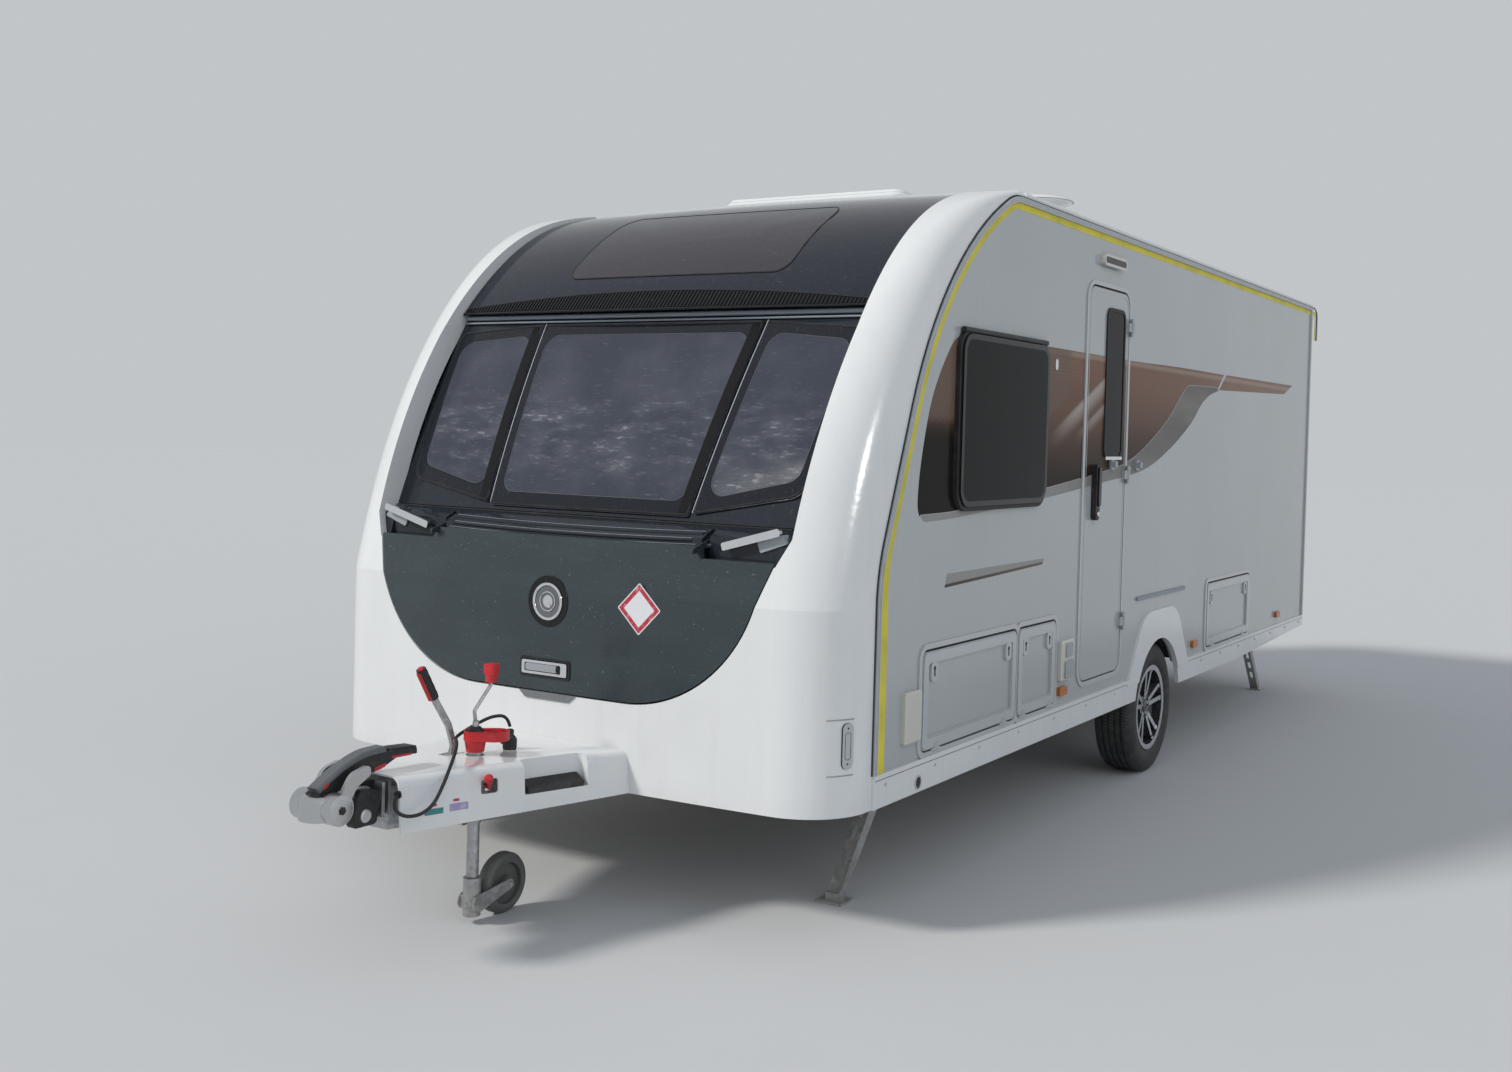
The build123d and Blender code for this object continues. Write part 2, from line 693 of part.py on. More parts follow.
def wheel_boxes():
    """Half-round housings over the wheels, open to the ground."""
    outer_radius = arch_opening_radius + box_clearance
    above = block((box_inner_x - overshoot, half), (wheel_y - 2 * outer_radius, wheel_y + 2 * outer_radius),
                  (floor_bottom_z, floor_bottom_z + outer_radius))
    outer = cross_tube(outer_radius, wheel_y, wheel_z, box_inner_x, wall_inner_x) & above
    inner = cross_tube(outer_radius - box_wall, wheel_y, wheel_z, box_inner_x + box_wall, half)
    box = outer - inner
    return Compound(children=[box, mirrored(box)])


def floor_panel():
    width = wall_inner_x
    floor = block((-width, width), (seam_y + 250 + seat_gap, rear_joint_y + 60), (floor_bottom_z, floor_top_z))
    edge = box_inner_x - seat_gap
    for x in ((edge, half), (-half, -edge)):
        floor -= cross_tube(arch_opening_radius + box_clearance + seat_gap, wheel_y, wheel_z, *x)
    return floor


# Chassis
def channel(start, end, top_z, inward):
    """A pressed C-section between two points in plan, open towards the middle of the caravan."""
    dx = end[0] - start[0]
    dy = end[1] - start[1]
    length = hypot(dx, dy)
    web = Polyline((0, 0), (0, -rail_height), (inward * rail_flange, -rail_height),
                   (inward * rail_flange, -rail_height + rail_thickness),
                   (inward * rail_thickness, -rail_height + rail_thickness),
                   (inward * rail_thickness, -rail_thickness), (inward * rail_flange, -rail_thickness),
                   (inward * rail_flange, 0), close=True)
    across = (-dy / length, dx / length, 0)
    plane = Plane(origin=(start[0], start[1], top_z), x_dir=across, z_dir=(dx / length, dy / length, 0))
    face = plane * make_face(web)
    return extrude(face, length)


def main_rails():
    """The two rails from the A-frame to the rear, with round holes between the cross members."""
    rails = []
    for side in (-1, 1):
        rail = channel((side * rail_x, frame_bend_y), (side * rail_x, rail_end_y), rail_top_z, side)
        holes = [y for y in range(-1700, 3500, 400) if abs(y - axle_y) > 180]
        for y in holes:
            rail -= Pos(side * rail_x, y, rail_top_z - rail_height / 2) * Rot(0, 90, 0) * Cylinder(34, 60)
        rails.append(rail)
    return Compound(children=rails)


def draw_bars():
    """The A-frame: two bars that meet behind the coupling, their end plate and the jockey wheel's plate."""
    top_z = rail_top_z - 4
    ahead = block((-half, half), (frame_front_y, frame_bend_y), (0, floor_bottom_z))
    bars = block((-frame_front_x, frame_front_x), (frame_front_y, frame_front_y + 60), (top_z - rail_height, top_z))
    for side in (-1, 1):
        bars += channel((side * frame_front_x, frame_front_y), (side * rail_x, frame_bend_y), top_z, side)
    plate = block((-165, 165), (jockey_y - 55, jockey_y + 55), (rail_top_z - 22, rail_top_z - 10))
    bars += plate - upright_tube(jockey_tube_radius + seat_gap, jockey_x, jockey_y, 300, 700)
    start, bend, knob = clamp_points()
    return (bars & ahead) - extrude(Plane(origin=start, z_dir=bend - start) * Circle(15), (bend - start).length)


def clamp_points():
    """Where the jockey clamp's lever starts, bends and ends."""
    x, y, z = clamp_slot
    return Vector(jockey_x + 30, jockey_y, clamp_z), Vector(x - 16, y + 14, z - 8), Vector(*clamp_knob)


def cross_members():
    """Pressed members between the rails."""
    inner = rail_x - rail_thickness
    return Compound(children=[
        block((-inner, inner), (y, y + cross_member_width), (rail_top_z - cross_member_height, rail_top_z - rail_thickness))
        for y in cross_member_ys])


def steady_arms():
    """An arm out from each rail, with two ears and the pin that a corner steady turns on."""
    arms = []
    for pivot_y in (steady_front_pivot_y, steady_rear_pivot_y):
        y = (pivot_y - steady_ear_half, pivot_y + steady_ear_half)
        arm = block((rail_x, steady_x + 36), y, (floor_bottom_z - 40, floor_bottom_z - 28))
        for x in (steady_x - 36, steady_x + 28):
            arm += block((x, x + 8), y, (steady_pivot_z - 30, floor_bottom_z))
        arm += cross_tube(steady_pin_radius, pivot_y, steady_pivot_z, steady_x - 30, steady_x + 30)
        arms += [arm, mirrored(arm)]
    return Compound(children=arms)


def axle_beam():
    """Torsion axle: hexagonal tube, mounting brackets, trailing arms, brake plates and stub axles."""
    tube = extrude(Plane(origin=(-862, axle_y, axle_z), x_dir=(0, 1, 0), z_dir=(1, 0, 0))
                   * RegularPolygon(axle_radius, 6), 1724)
    beam = tube
    for side in (-1, 1):
        arm = Plane(origin=(side * 862, 0, 0), x_dir=(0, 1, 0), z_dir=(1, 0, 0))
        hull = make_hull([*(Pos(axle_y, axle_z) * Circle(52)).edges(), *(Pos(wheel_y, wheel_z) * Circle(34)).edges()])
        beam += extrude(arm * hull, side * 34)
        beam += extrude(Plane(origin=(side * 896, wheel_y, wheel_z), z_dir=(1, 0, 0)) * Circle(118), side * 6)
        beam += extrude(Plane(origin=(side * 890, wheel_y, wheel_z), z_dir=(1, 0, 0)) * Circle(stub_radius),
                        side * 150)
        bracket = (rail_x - 40, rail_x - 6) if side > 0 else (6 - rail_x, 40 - rail_x)
        beam += block(bracket, (axle_y - 90, axle_y + 90), (axle_z, rail_bottom_z))
    return beam


# Wheels
def tyre(side):
    w = tyre_width / 2
    outer = [(bead_radius, -w + 22.5), (rim_flange_radius + 1, -w + 18.5), (222, -w + 5), (262, -w), (301, -w + 9),
             (tyre_radius, -w + 30), (tyre_radius, w - 30), (301, w - 9), (262, w), (222, w - 5),
             (rim_flange_radius + 1, w - 18.5), (bead_radius, w - 22.5)]
    inner = [(bead_radius, w - 38), (228, w - 17), (262, w - 12), (290, w - 20), (303, w - 38),
             (303, -w + 38), (290, -w + 20), (262, -w + 12), (228, -w + 17), (bead_radius, -w + 38)]
    face = make_face(Polyline(*outer, *inner, close=True))
    plane = Plane(origin=(side * wheel_x, wheel_y, wheel_z), x_dir=(0, 0, 1), z_dir=(0, 1, 0))
    return revolve(plane * face, Axis((side * wheel_x, wheel_y, wheel_z), (1, 0, 0)))


def rim(side):
    """Alloy wheel: a turned barrel, a hub and twin spokes in a ring."""
    w = tyre_width / 2
    outer = [(rim_flange_radius, -w + 10), (rim_flange_radius, -w + 18), (bead_radius - seat_gap, -w + 22),
             (bead_radius - seat_gap, -w + 62), (bead_radius - 22, -w + 76), (bead_radius - 22, w - 76),
             (bead_radius - seat_gap, w - 62), (bead_radius - seat_gap, w - 22), (rim_flange_radius, w - 18),
             (rim_flange_radius, w - 10)]
    inner = [(bead_radius - rim_wall - 1, w - 12), (bead_radius - rim_wall - 1, w - 58),
             (bead_radius - 22 - rim_wall, w - 72), (bead_radius - 22 - rim_wall, -w + 72),
             (bead_radius - rim_wall - 1, -w + 58), (bead_radius - rim_wall - 1, -w + 12)]
    axis = Axis((0, 0, 0), (1, 0, 0))
    plane = Plane(origin=(0, 0, 0), x_dir=(0, 0, 1), z_dir=(0, 1, 0))
    wheel = revolve(plane * make_face(Polyline(*outer, *inner, close=True)), axis)
    hub = [(stub_radius + fit_gap, -34), (hub_radius + 24, -34), (hub_radius + 24, 8), (hub_radius, 40),
           (hub_radius, 58), (0, 58), (0, 46), (stub_radius + fit_gap, 46)]
    wheel += revolve(plane * make_face(Polyline(*hub, close=True)), axis)
    spoke = [(50, 30), (50, 62), (bead_radius - 20, w - 22), (bead_radius - 5, w - 14), (bead_radius - 5, w - 50),
             (bead_radius - 24, w - 56), (hub_radius + 20, 12)]
    blade = extrude(plane * make_face(Polyline(*spoke, close=True)), 11, both=True)
    for turn in range(spoke_count):
        for split in (-11, 11):
            wheel += Rot(turn * 360 / spoke_count + split, 0, 0) * blade
    placed = Pos(wheel_x, wheel_y, wheel_z) * wheel
    return placed if side > 0 else mirrored(placed)


# Hitch
def fairing_solid(inset, drop):
    sections = []
    for y, width, top, bottom in ((frame_front_y, fairing_front_half, fairing_front_top_z, fairing_front_bottom_z),
                                  (fairing_rear_y, fairing_rear_half, fairing_rear_top_z, fairing_rear_bottom_z)):
        width -= inset
        top -= inset
        bottom -= drop
        points = [(-width, bottom), (-width + 14, top), (width - 14, top), (width, bottom)]
        face = rounded_outline(points, [0, 34 - inset, 34 - inset, 0])
        sections.append(Plane(origin=(0, y, 0), x_dir=(1, 0, 0), z_dir=(0, -1, 0)) * face)
    return loft(sections)


def step_space(margin):
    """The space of one step, square to the fairing's slanted side, widened by a margin."""
    floor_z = step_floor_z - max(margin, 0)
    plan = rounded_box_face((-step_depth - margin, 2 * step_depth), (-step_half - margin, step_half + margin),
                            step_corner_radius + margin)
    return Pos(step_x, step_y, floor_z) * Rot(0, 0, -fairing_slant) * extrude(plan, 400)


def a_frame_fairing():
    outside = fairing_solid(0, 0)
    steps = step_space(0) + mirrored(step_space(0))
    walls = step_space(fairing_wall) + mirrored(step_space(fairing_wall))
    shell = outside - (fairing_solid(fairing_wall, 20) - walls) - steps
    shell -= extrude(cap_section(0, 0, -seat_gap, 300), skirt_bottom_z - bend_z - 50)
    shell -= upright_tube(jockey_tube_radius + 6, jockey_x, jockey_y, 500, 700)
    shell -= block((-52, -8), (-3160, -3085), (500, 600))
    x, y, z = clamp_slot
    slot = extrude(rounded_box_face((-30, 30), (-22, 22), 8), 60, both=True)
    return shell - Pos(x, y, z) * Rot(0, 0, -fairing_slant) * Rot(0, 90, 0) * Rot(0, 0, 90) * slot


def fairing_step_pads():
    """Rubber pads on the steps' floors, higher at the back than at the edge."""
    wedge = make_face(Polyline((-step_depth + 2, step_floor_z), (20, step_floor_z), (20, step_floor_z + 6),
                               (-step_depth + 2, step_floor_z + step_pad_rise), close=True))
    bar = extrude(Plane(origin=(0, -step_half + 14, 0), x_dir=(1, 0, 0), z_dir=(0, -1, 0)) * wedge,
                  -2 * step_half + 28)
    pad = Pos(step_x, step_y, 0) * Rot(0, 0, -fairing_slant) * bar
    pad = pad & fairing_solid(2, 0) & step_space(-3)
    return Compound(children=[pad, mirrored(pad)])


def jockey_clamp_lever():
    """A clamp ring on the outer tube and its lever, which ends in a ball outside the fairing."""
    ring = upright_tube(jockey_tube_radius + 12, jockey_x, jockey_y, clamp_z - 14, clamp_z + 14)
    root, bend, knob = clamp_points()
    lever = ring
    for start, end in ((root, bend), (bend, knob)):
        lever += extrude(Plane(origin=start, z_dir=end - start) * Circle(7), (end - start).length)
    lever += Pos(*bend) * Sphere(7)
    lever += Pos(*knob) * Sphere(clamp_knob_radius)
    return lever - upright_tube(jockey_tube_radius + seat_gap, jockey_x, jockey_y, 300, 700)


def jockey_collar():
    """The moulded collar on the outer tube, with the ring beside it that stows the coupling's cables."""
    cup = loft([Pos(jockey_x, jockey_y, collar_low_z) * Circle(collar_radius - 9),
                Pos(jockey_x, jockey_y, collar_high_z) * Circle(collar_radius)])
    outer = Pos(ring_x, ring_y) * Circle(ring_radius)
    web = make_hull([*(Pos(jockey_x, jockey_y) * Circle(collar_radius)).edges(), *outer.edges()])
    hoop = from_above(web, collar_high_z - 14, ring_high_z)
    bowl = upright_tube(collar_radius - 7, jockey_x, jockey_y, collar_high_z - 2, ring_high_z + overshoot)
    bore = upright_tube(jockey_tube_radius + seat_gap, jockey_x, jockey_y, collar_low_z - overshoot, ring_high_z)
    ring_hole = upright_tube(ring_radius - ring_wall, ring_x, ring_y, collar_low_z - overshoot, ring_high_z + overshoot)
    return cup + hoop - bowl - bore - ring_hole


def cable_path():
    """Straight runs of the cable joined by tangent arcs, each as large as its two runs allow."""
    points = [Vector(*point) for point in cable_route]
    bends = []
    for before, here, after in zip(points, points[1:], points[2:]):
        run = min((here - before).length, (after - here).length)
        turn = radians((here - before).get_angle(after - here))
        bends.append(0.45 * run / tan(turn / 2))
    print("cable bends", [round(bend) for bend in bends])
    return FilletPolyline(*cable_route, radius=bends)


def swept_cable():
    path = cable_path()
    tube = sweep(Plane(origin=path @ 0, z_dir=path % 0) * Circle(cable_radius), path)
    share = tube.volume / (path.length * pi * cable_radius ** 2)
    print("cable length", round(path.length), "volume share", round(share, 4))
    return tube


cable_tube = swept_cable()


def tow_cable():
    return cable_tube


def tow_cable_gland():
    x, y, z = cable_route[0]
    aim = Vector(*cable_route[1]) - Vector(*cable_route[0])
    nut = extrude(Plane(origin=(x, y, z), z_dir=aim) * RegularPolygon(13, 6), -7)
    stub = extrude(Plane(origin=(x, frame_front_y, z), z_dir=(0, -1, 0)) * Circle(11), 5)
    return ((nut + stub) & block((0, half), (ball_y, frame_front_y), (0, wall_bottom_z * 2))) - cable_tube


def tow_plug():
    """The round two-part plug, standing on the fairing."""
    base_z = fairing_rear_top_z
    profile = Polyline((0, base_z - 10), (plug_radius, base_z - 10), (plug_radius, base_z + 42), (plug_radius - 4, base_z + 48),
                       (13, base_z + 54), (13, base_z + 68), (10, base_z + 72), (0, base_z + 72), close=True)
    body = revolve(Plane(origin=(plug_x, plug_y, 0), x_dir=(1, 0, 0), z_dir=(0, -1, 0)) * make_face(profile),
                   Axis((plug_x, plug_y, 0), (0, 0, 1)))
    return body - fairing_solid(0, 0) - cable_tube


def coupling_head():
    """Stabiliser coupling: drawtube, neck and head, with a socket for the ball and two friction discs."""
    tube = extrude(Plane(origin=(0, frame_front_y - seat_gap, ball_z - 12), x_dir=(1, 0, 0), z_dir=(0, -1, 0))
                   * Circle(33), 70)
    neck = loft([
        Plane(origin=(0, frame_front_y - 50, ball_z - 6), x_dir=(1, 0, 0), z_dir=(0, -1, 0)) * RectangleRounded(86, 84, 18),
        Plane(origin=(0, ball_y + 20, ball_z), x_dir=(1, 0, 0), z_dir=(0, -1, 0)) * RectangleRounded(104, 66, 18),
    ])
    dome = upright_tube(nose_radius, 0, ball_y, ball_z - 34, ball_z + 38)
    dome = fillet(dome.edges().sort_by(Axis.Z)[-1], 18)
    discs = cross_tube(disc_radius, ball_y, ball_z, -disc_x, -disc_x + 44)
    head = tube + neck + dome + discs + mirrored(discs)
    return head - Pos(0, ball_y, ball_z) * Sphere(ball_radius + 0.2) - upright_tube(ball_radius + 1, 0, ball_y,
                                                                                   ball_z - 60, ball_z)


def stabiliser_handle():
    """The long curved handle over the coupling."""
    points = [(-3712, 530.3), (-3668, 562), (-3606, 593), (-3532, 616), (-3437, 619), (-3327, 612),
              (-3326, 593), (-3406, 596), (-3470, 570), (-3560, 556), (-3640, 530.3)]
    face = rounded_outline(points, [0, 60, 120, 160, 0, 4, 4, 20, 40, 40, 0])
    return from_side(face, -26, 26)


def handbrake_lever():
    foot_z = rail_top_z - 10 + 18 + seat_gap
    path = FilletPolyline((-30, -3125, foot_z), (-30, -3112, 578), (-30, -3136, 645), (-30, -3197, 732),
                          (-30, -3253, 825), radius=[30, 60, 80])
    bar = sweep(Plane(origin=path @ 0, x_dir=(1, 0, 0), z_dir=path % 0) * RectangleRounded(12, 24, 4), path)
    aim = Vector(0, -3253 + 3197, 825 - 732).normalized()
    grip = extrude(Plane(origin=Vector(-30, -3253, 825) - aim * 95, x_dir=(1, 0, 0), z_dir=aim) * Circle(15), 110)
    foot = cross_tube(18, -3125, foot_z, -48, -12)
    return bar + grip + foot


def jockey_outer_tube():
    """Outer tube in the A-frame plate, with its winding head and crank."""
    tube = upright_tube(jockey_tube_radius, jockey_x, jockey_y, 330, 628)
    bore = upright_tube(jockey_leg_radius + fit_gap, jockey_x, jockey_y, 320, 612)
    collar = upright_tube(jockey_tube_radius + 16, jockey_x, jockey_y, rail_top_z - 10, rail_top_z + 4)
    spindle = upright_tube(9, jockey_x, jockey_y, 620, 660)
    path = FilletPolyline((jockey_x, jockey_y, 652), (jockey_x, -3090, 692), (jockey_x, -3014, 769),
                          (jockey_x, -3014, 800), radius=[10, 14])
    crank = sweep(Plane(origin=path @ 0, z_dir=path % 0) * Circle(6), path)
    knob = upright_tube(15, jockey_x, -3014, 790, 832)
    return tube + collar - bore + spindle + crank + fillet(knob.edges().filter_by(GeomType.CIRCLE), 5)


def jockey_leg():
    leg = upright_tube(jockey_leg_radius, jockey_x, jockey_y, jockey_pivot_z + 3, 420)
    return leg + upright_tube(12, jockey_x, jockey_y, jockey_pivot_z - 45, jockey_pivot_z + 10)


def jockey_fork():
    """Swivel post with two trailing plates and the axle pin."""
    post = upright_tube(29, jockey_x, jockey_y, 26, jockey_pivot_z)
    fork = post
    gap = jockey_wheel_width / 2 + 6
    hull = make_hull([*(Pos(jockey_y, 70) * Circle(28)).edges(),
                      *(Pos(jockey_wheel_y, jockey_wheel_radius) * Circle(17)).edges()])
    for x in (-gap - 5, gap):
        fork += from_side(hull, jockey_x + x, jockey_x + x + 5)
    fork += block((jockey_x - gap - 5, jockey_x + gap + 5), (jockey_y - 20, jockey_y + 20), (48, 92))
    fork += cross_tube(8, jockey_wheel_y, jockey_wheel_radius, jockey_x - gap - 10, jockey_x + gap + 10)
    return fork - upright_tube(12 + fit_gap, jockey_x, jockey_y, jockey_pivot_z - 48, jockey_pivot_z + 5)


def jockey_wheel():
    w = jockey_wheel_width / 2
    section = [(8 + fit_gap, -w - 4), (24, -w - 4), (24, -8), (68, -8), (68, -w + 2), (82, -w), (95, -w + 6),
               (100, -12), (100, 12), (95, w - 6), (82, w), (68, w - 2), (68, 8), (24, 8), (24, w + 4),
               (8 + fit_gap, w + 4)]
    face = make_face(Polyline(*section, close=True))
    plane = Plane(origin=(jockey_x, jockey_wheel_y, jockey_wheel_radius), x_dir=(0, 0, 1), z_dir=(0, 1, 0))
    return revolve(plane * face, Axis((jockey_x, jockey_wheel_y, jockey_wheel_radius), (1, 0, 0)))


# Corner steadies: name, side, pivot and foot along Y
steadies = [
    ("steady_front_door_side", 1, steady_front_pivot_y, steady_front_foot_y),
    ("steady_front_off_side", -1, steady_front_pivot_y, steady_front_foot_y),
    ("steady_rear_door_side", 1, steady_rear_pivot_y, steady_rear_foot_y),
    ("steady_rear_off_side", -1, steady_rear_pivot_y, steady_rear_foot_y),
]


def steady(side, pivot_y, foot_y):
    """A pressed channel leg with lightening slots and a foot plate."""
    reach = foot_y - pivot_y
    foot_z = 14.0
    leg_length = hypot(reach, steady_pivot_z - foot_z)
    angle = degrees(atan2(steady_pivot_z - foot_z, reach))
    outline = rounded_outline([(-26, -26), (-26, 26), (leg_length, 19), (leg_length, -19)], [24, 24, 0, 0])
    sheet = extrude(Pos(0, 0, -25) * outline, 50)
    hollow = extrude(Pos(0, 0, -21) * rounded_outline([(-60, -22), (-60, 60), (leg_length + 20, 60),
                                                      (leg_length + 20, -15)], [0, 0, 0, 0]), 42)
    leg = sheet - hollow
    for share in (0.3, 0.5, 0.7):
        leg -= Pos(leg_length * share, -20, 0) * Rot(90, 0, 0) * extrude(SlotOverall(60, 20), 20, both=True)
    leg -= Cylinder(steady_pin_radius + fit_gap, 80)
    placed = Plane(origin=(side * steady_x, pivot_y, steady_pivot_z), x_dir=(0, cos(radians(angle)), -sin(radians(angle))),
                   z_dir=(1, 0, 0)) * leg
    plate = block((side * steady_x - 50, side * steady_x + 50), (foot_y - 48, foot_y + 48), (0, 8))
    shoe = block((side * steady_x - 25, side * steady_x + 25), (foot_y - 22, foot_y + 22), (6, 34))
    return placed + plate + shoe


# Roof fittings
def rooflight():
    base = from_above(rounded_box_face((-rooflight_half, rooflight_half), rooflight_y, 60),
                      wall_top_z + roof_edge / 2, roof_top_z(0) + 40) - roof_blank()
    dome = from_above(rounded_box_face((-rooflight_half + 20, rooflight_half - 20),
                                       (rooflight_y[0] + 20, rooflight_y[1] - 20), 60),
                      roof_top_z(0) + 40, roof_top_z(0) + 80)
    return base + chamfer(dome.faces().sort_by(Axis.Z)[-1].edges(), 24)


def roof_top_z(x):
    """Height of the roof's outside at a place across it."""
    return wall_top_z + roof_edge + roof_crown * (1 - (x / half) ** 2)


def aerial_dome():
    x = half - aerial_inset
    base = upright_tube(70, x, -290, wall_top_z + roof_edge / 2, roof_top_z(x) + 32)
    dish = upright_tube(168, x, -290, roof_top_z(x) + 32, roof_top_z(x) + 66)
    return base + fillet(dish.edges().sort_by(Axis.Z)[-1], 26) - roof_blank()


def rear_window():
    return from_front(rounded_box_face((-rear_glass_half, rear_glass_half), rear_glass_z, 85), rear_y, rear_y + 22)


def rear_bumper():
    bar = block((-half + 60, half - 60), (rear_y + seat_gap, rear_y + 30), (440, 640))
    return bar


def rear_lamps():
    lamps = []
    for side in (-1, 1):
        middle = side * (half - lamp_inset)
        face = rounded_box_face((middle - lamp_half, middle + lamp_half), lamp_z, 30)
        lamps.append(from_front(face, rear_y + seat_gap, rear_y + 30))
    return Compound(children=lamps)


# Covers on the side walls: side (+1 door side), low and high y, low and high z, how far it stands out
hatches = [
    (1, -2206.0, -2089.0, 578.0, 755.0, 22.0),
    (1, -811.0, -667.0, 616.0, 785.0, 26.0),
    (1, -446.0, -154.0, 2392.0, 2430.0, 22.0),
    (-1, -760.0, -610.0, 640.0, 790.0, 22.0),
    (-1, 960.0, 1360.0, 1080.0, 1300.0, 12.0),
    (-1, 960.0, 1360.0, 1560.0, 1780.0, 12.0),
    (-1, 2380.0, 2700.0, 560.0, 860.0, 10.0),
]


def service_hatches():
    """Vent box, socket box and awning lamp on one side; inlet, fridge vents and cassette door on the other."""
    boxes = []
    for side, y0, y1, z0, z1, proud in hatches:
        box = from_side(rounded_box_face((y0, y1), (z0, z1), 12), half, half + proud)
        box = chamfer(box.faces().sort_by(Axis.X)[-1].edges(), 6)
        boxes.append(box if side > 0 else mirrored(box))
    return Compound(children=boxes)


pieces = {
    "front_moulding": front_moulding,
    "front_upper_panel": front_upper_panel,
    "front_windows": front_windows,
    "front_inner_panel": front_inner_panel,
    "front_shelf": front_shelf,
    "grab_handles": grab_handles,
    "gas_locker_box": gas_locker_box,
    "gas_locker_lid": gas_locker_lid,
    "roof_panel": roof_panel,
    "rooflight": rooflight,
    "aerial_dome": aerial_dome,
    "rear_panel": rear_panel,
    "rear_window": rear_window,
    "rear_lamps": rear_lamps,
    "rear_bumper": rear_bumper,
    "side_windows": side_window_panes,
    "opening_frames": opening_frames,
    "service_hatches": service_hatches,
    "awning_rails": awning_rails,
    "entrance_door_window": entrance_door_window,
    "wheel_boxes": wheel_boxes,
    "floor_panel": floor_panel,
    "main_rails": main_rails,
    "draw_bars": draw_bars,
    "cross_members": cross_members,
    "steady_arms": steady_arms,
    "axle_beam": axle_beam,
    "a_frame_fairing": a_frame_fairing,
    "fairing_step_pads": fairing_step_pads,
    "jockey_clamp_lever": jockey_clamp_lever,
    "jockey_collar": jockey_collar,
    "tow_cable": tow_cable,
    "tow_cable_gland": tow_cable_gland,
    "tow_plug": tow_plug,
    "coupling_head": coupling_head,
    "stabiliser_handle": stabiliser_handle,
    "handbrake_lever": handbrake_lever,
    "jockey_outer_tube": jockey_outer_tube,
    "jockey_leg": jockey_leg,
    "jockey_fork": jockey_fork,
    "jockey_wheel": jockey_wheel,
}

for node, make in pieces.items():
    save(node, make())
for side, name in ((1, "door_side"), (-1, "off_side")):
    save(f"side_wall_{name}", side_wall(side))
    save(f"side_skirt_{name}", side_skirt(side))
    save(f"tyre_{name}", tyre(side))
    save(f"rim_{name}", rim(side))
for door in doors:
    save(door[0], door_leaf(door))
for node, side, pivot_y, foot_y in steadies:
    save(node, steady(side, pivot_y, foot_y))
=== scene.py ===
from math import atan2, cos, pi, radians, sin, tan

import bmesh
import bpy
from mathutils import Matrix, Vector


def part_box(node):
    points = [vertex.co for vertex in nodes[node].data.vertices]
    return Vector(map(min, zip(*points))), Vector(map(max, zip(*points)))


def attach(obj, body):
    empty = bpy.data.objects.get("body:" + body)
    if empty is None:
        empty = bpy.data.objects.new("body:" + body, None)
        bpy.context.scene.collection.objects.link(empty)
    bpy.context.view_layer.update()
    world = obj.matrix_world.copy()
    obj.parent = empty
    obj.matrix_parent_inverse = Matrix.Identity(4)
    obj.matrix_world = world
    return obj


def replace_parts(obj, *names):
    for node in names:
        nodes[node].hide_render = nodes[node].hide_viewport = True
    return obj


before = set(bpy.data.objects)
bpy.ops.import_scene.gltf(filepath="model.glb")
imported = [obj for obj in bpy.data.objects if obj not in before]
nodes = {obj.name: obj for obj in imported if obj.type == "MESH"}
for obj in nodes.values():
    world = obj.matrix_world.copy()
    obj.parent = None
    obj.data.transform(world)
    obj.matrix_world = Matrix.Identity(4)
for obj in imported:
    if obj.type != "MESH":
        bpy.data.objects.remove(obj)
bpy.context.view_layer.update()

# Places that the finish follows, in metres, with the door side at +X and the hitch at -Y
(_, seam_y, wall_low_z), (wall_x, wall_rear_y, wall_high_z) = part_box("side_wall_door_side")
leaf_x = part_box("entrance_door_window")[0][0]
rear_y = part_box("rear_panel")[1][1]
(tyre_inner_x, tyre_front_y, tyre_low_z), (tyre_outer_x, tyre_rear_y, tyre_high_z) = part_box("tyre_door_side")
wheel_y = (tyre_front_y + tyre_rear_y) / 2
wheel_z = (tyre_low_z + tyre_high_z) / 2
tyre_radius = (tyre_high_z - tyre_low_z) / 2
tyre_width = tyre_outer_x - tyre_inner_x
both_sides = ((1, "door_side"), (-1, "off_side"))
well_ahead = -5.0

# Axes, by number for outlines and as directions for turned pieces
X, Y, Z = 0, 1, 2
along_x = (1, 0, 0)
along_y = (0, 1, 0)

# The seam between front moulding and side wall: corners in (y, z) with their radii
seam_corners = [(seam_y, wall_low_z, 0), (seam_y, 1.169, 0.6), (-1.9775, 2.2695, 1.45),
                (-1.3869, 2.545, 0.26), (rear_y - 0.004, 2.545, 0.07), (rear_y - 0.004, 2.336, 0)]

# The entrance door: low and high y and z, corner radius
entrance = (-0.561, -0.055, 0.582, 2.287, 0.062)

# Locker doors: low and high y and z, and the places of their locks in (y, z)
lockers = {
    "locker_door_front": (-2.060, -1.251, 0.531, 0.874, [(-1.973, 0.806), (-1.330, 0.806)]),
    "locker_door_middle": (-1.232, -0.843, 0.531, 0.874, [(-1.160, 0.806), (-0.912, 0.806)]),
    "locker_door_rear": (1.332, 2.187, 0.532, 0.871, [(1.420, 0.796), (2.100, 0.800)]),
}

# Side windows: side, low and high y and z
side_windows = [(1, -1.850, -1.037, 1.364, 1.998), (-1, -1.850, -1.037, 1.364, 1.998),
                (-1, -0.420, 0.480, 1.440, 1.990), (-1, 2.450, 3.050, 1.500, 1.960)]

